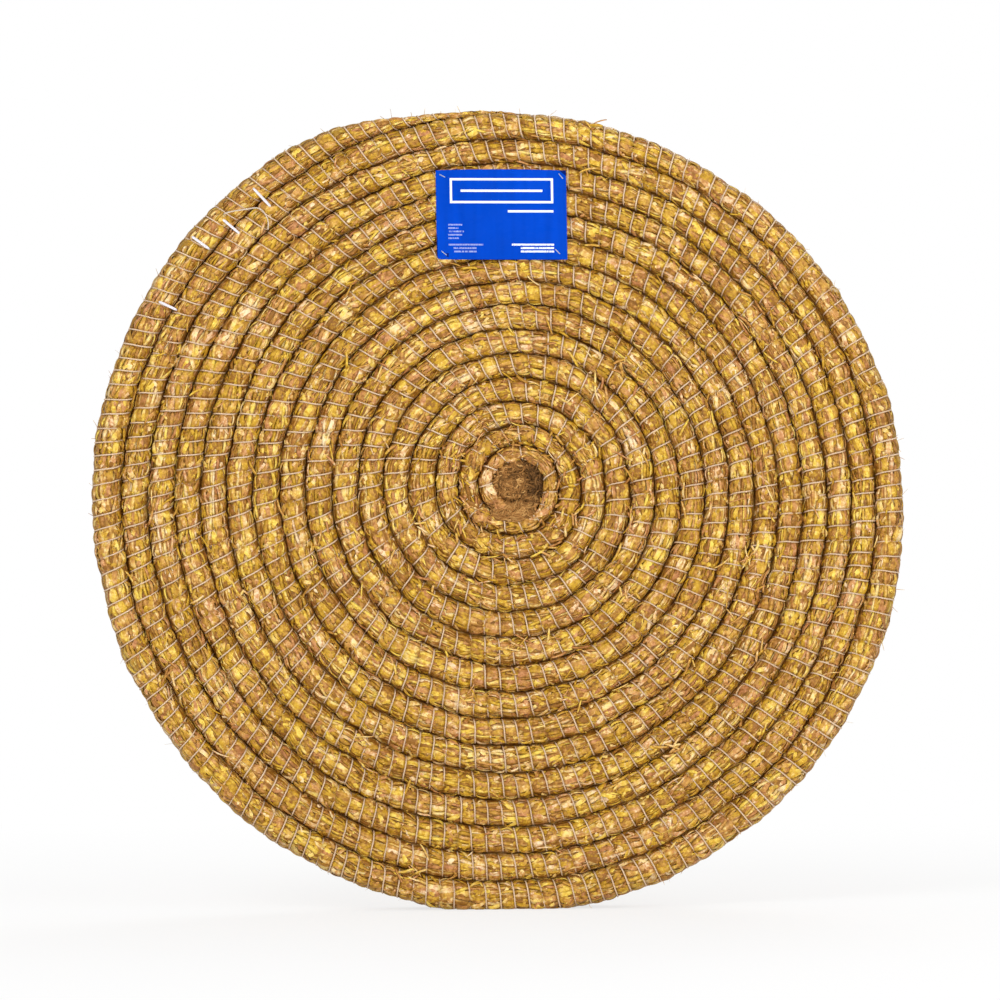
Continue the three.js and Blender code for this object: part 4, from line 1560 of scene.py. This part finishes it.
class BOSS_OT_label(BossOperator, bpy.types.Operator):
    """Adds the label of plastic film, and finishes the staples that hold it"""

    bl_idname = "boss.label"
    bl_label = "Label and Staples"

    # The film's shape over the face: its rounded corners, its bulged top edge, and its lean and slope.
    ROUNDING = 0.0065
    BULGE = 0.0018
    SHEAR = 0.024
    LEVELLING = 0.007

    # Its thickness, its height over the crowns, how far its curled corners and its staples reach, its
    # points each way, its waves, and the parts of the map for its front and its rear.
    FILM_THICKNESS = 0.0003
    FILM_GAP = 0.0008
    CURL_REACH = 0.016
    STAPLE_REACH = 0.010
    SHEET_POINTS = (106, 72)
    WAVE_UP = 0.00025
    WAVES_UP = ((0.040, 0.4), (0.061, 2.0))
    WAVE_ASLANT = 0.00018
    WAVES_ASLANT = ((0.073, 1.0), (0.11, 3.0))
    MAP_SHARES = (((0.99, 0.7154), (0.005, 0.005)), ((0.99, 0.2352), (0.005, 0.75)))

    def make(self, scene):
        settings = scene.boss_label
        piece(self.film(settings), "label_film", film_finish(settings), "label_sheet")
        steel = steel_finish(settings)
        for name in STAPLES:
            staple = frame["nodes"][name]
            staple.data.materials.clear()
            staple.data.materials.append(steel)

    def film(self, settings):
        """A thin closed sheet that bridges the grooves, lies flat at its staples and curls at two
        corners.
        """
        columns, rows = self.SHEET_POINTS
        sides = zip(self.SHEET_POINTS, LABEL_SIZE, strict=True)
        x, y = np.meshgrid(*(np.linspace(-0.5, 0.5, steps) * side for steps, side in sides))
        cos, sin = math.cos(LABEL_TURN), math.sin(LABEL_TURN)
        corner_x, corner_y = LABEL_SIZE[0] / 2, LABEL_SIZE[1] / 2
        aside = np.clip(-x - corner_x + self.ROUNDING, 0, None)
        below = np.clip(-y - corner_y + self.ROUNDING, 0, None)
        drawn_in = 1 - np.maximum(aside, below) / np.maximum(np.hypot(aside, below), 1e-9)
        in_corner = np.minimum(aside, below) > 0
        x = x + aside * drawn_in * in_corner
        y = y + below * drawn_in * in_corner
        y = y + self.BULGE * smooth(y, 0, corner_y) * (1 - (x / corner_x) ** 2)
        top_right = np.hypot(corner_x - x, corner_y - y)
        bottom_left = np.hypot(corner_x + x, corner_y + y)
        lifted = sum(smooth(corner, self.CURL_REACH, 0) for corner in (top_right, bottom_left))
        waves = self.WAVE_UP * ripple(y, self.WAVES_UP)
        waves = waves + self.WAVE_ASLANT * ripple(x + y, self.WAVES_ASLANT)
        near = (((x - sx) ** 2 + (y - sy) ** 2) / self.STAPLE_REACH**2 for sx, sy in STAPLES.values())
        held = np.clip(sum(np.exp(-reach) for reach in near), 0, 1)
        level = THICKNESS + self.FILM_GAP + waves * (1 - held) + settings.curl * lifted
        right = LABEL_MIDDLE[0] + x * cos - y * (sin + self.SHEAR)
        up = LABEL_MIDDLE[1] + x * (sin + self.LEVELLING) + y * cos
        half = self.FILM_THICKNESS / 2
        front, rear = (over_face(right, up, level + side * half).reshape(-1, 3) for side in (1, -1))
        faces = closed_sheet(rows, columns)
        places = np.stack([x.ravel(), y.ravel(), np.ones(x.size)], axis=-1)
        flat = places[:, :2] / LABEL_SIZE + 0.5
        maps = np.concatenate([flat * share + place for share, place in self.MAP_SHARES])[faces]
        attributes = {"place": np.concatenate([places, places * (1, 1, 0)])}
        points = np.concatenate([front, rear])
        return filled_mesh("label_film", points, [faces], maps, attributes, np.ones(len(faces), bool))


def closed_sheet(rows, columns):
    """The faces of a thin sheet: a front of rows and columns of points, a rear behind it and the rim."""
    total = rows * columns
    index = np.arange(total).reshape(rows, columns)
    front = np.stack([index[:-1, :-1], index[:-1, 1:], index[1:, 1:], index[1:, :-1]], -1).reshape(-1, 4)
    edge = np.concatenate([index[0, :-1], index[:-1, -1], index[-1, :0:-1], index[:0:-1, 0]])
    after = np.roll(edge, -1)
    rim = np.stack([edge, edge + total, after + total, after], axis=-1)
    return np.concatenate([front, front[:, ::-1] + total, rim])


class BOSS_PT_panel(bpy.types.Panel):
    """Lists the steps that build the boss"""

    bl_label = "Straw Boss"
    bl_idname = "BOSS_PT_panel"
    bl_space_type = "VIEW_3D"
    bl_region_type = "UI"
    bl_category = "Boss"

    def draw(self, context):
        for operator in OPERATORS:
            self.layout.operator(operator.bl_idname)
        for title in GROUPS:
            box = self.layout.box()
            settings = getattr(context.scene, title)
            for name in settings.__annotations__:
                box.prop(settings, name)


OPERATORS = (
    BOSS_OT_stage,
    BOSS_OT_tail,
    BOSS_OT_rope,
    BOSS_OT_twine,
    BOSS_OT_anchors,
    BOSS_OT_plug,
    BOSS_OT_loose_straws,
    BOSS_OT_label,
)


def register():
    for group in GROUPS.values():
        bpy.utils.register_class(group)
    for title, group in GROUPS.items():
        setattr(bpy.types.Scene, title, PointerProperty(type=group))
    for operator in OPERATORS:
        bpy.utils.register_class(operator)
    bpy.utils.register_class(BOSS_PT_panel)


def unregister():
    bpy.utils.unregister_class(BOSS_PT_panel)
    for operator in reversed(OPERATORS):
        bpy.utils.unregister_class(operator)
    for title, group in GROUPS.items():
        delattr(bpy.types.Scene, title)
        bpy.utils.unregister_class(group)


def main():
    register()
    bpy.ops.boss.stage()
    bpy.ops.boss.tail()
    bpy.ops.boss.rope()
    bpy.ops.boss.twine()
    bpy.ops.boss.anchors()
    bpy.ops.boss.plug()
    bpy.ops.boss.loose_straws()
    bpy.ops.boss.label()


if __name__ == "__main__":
    main()
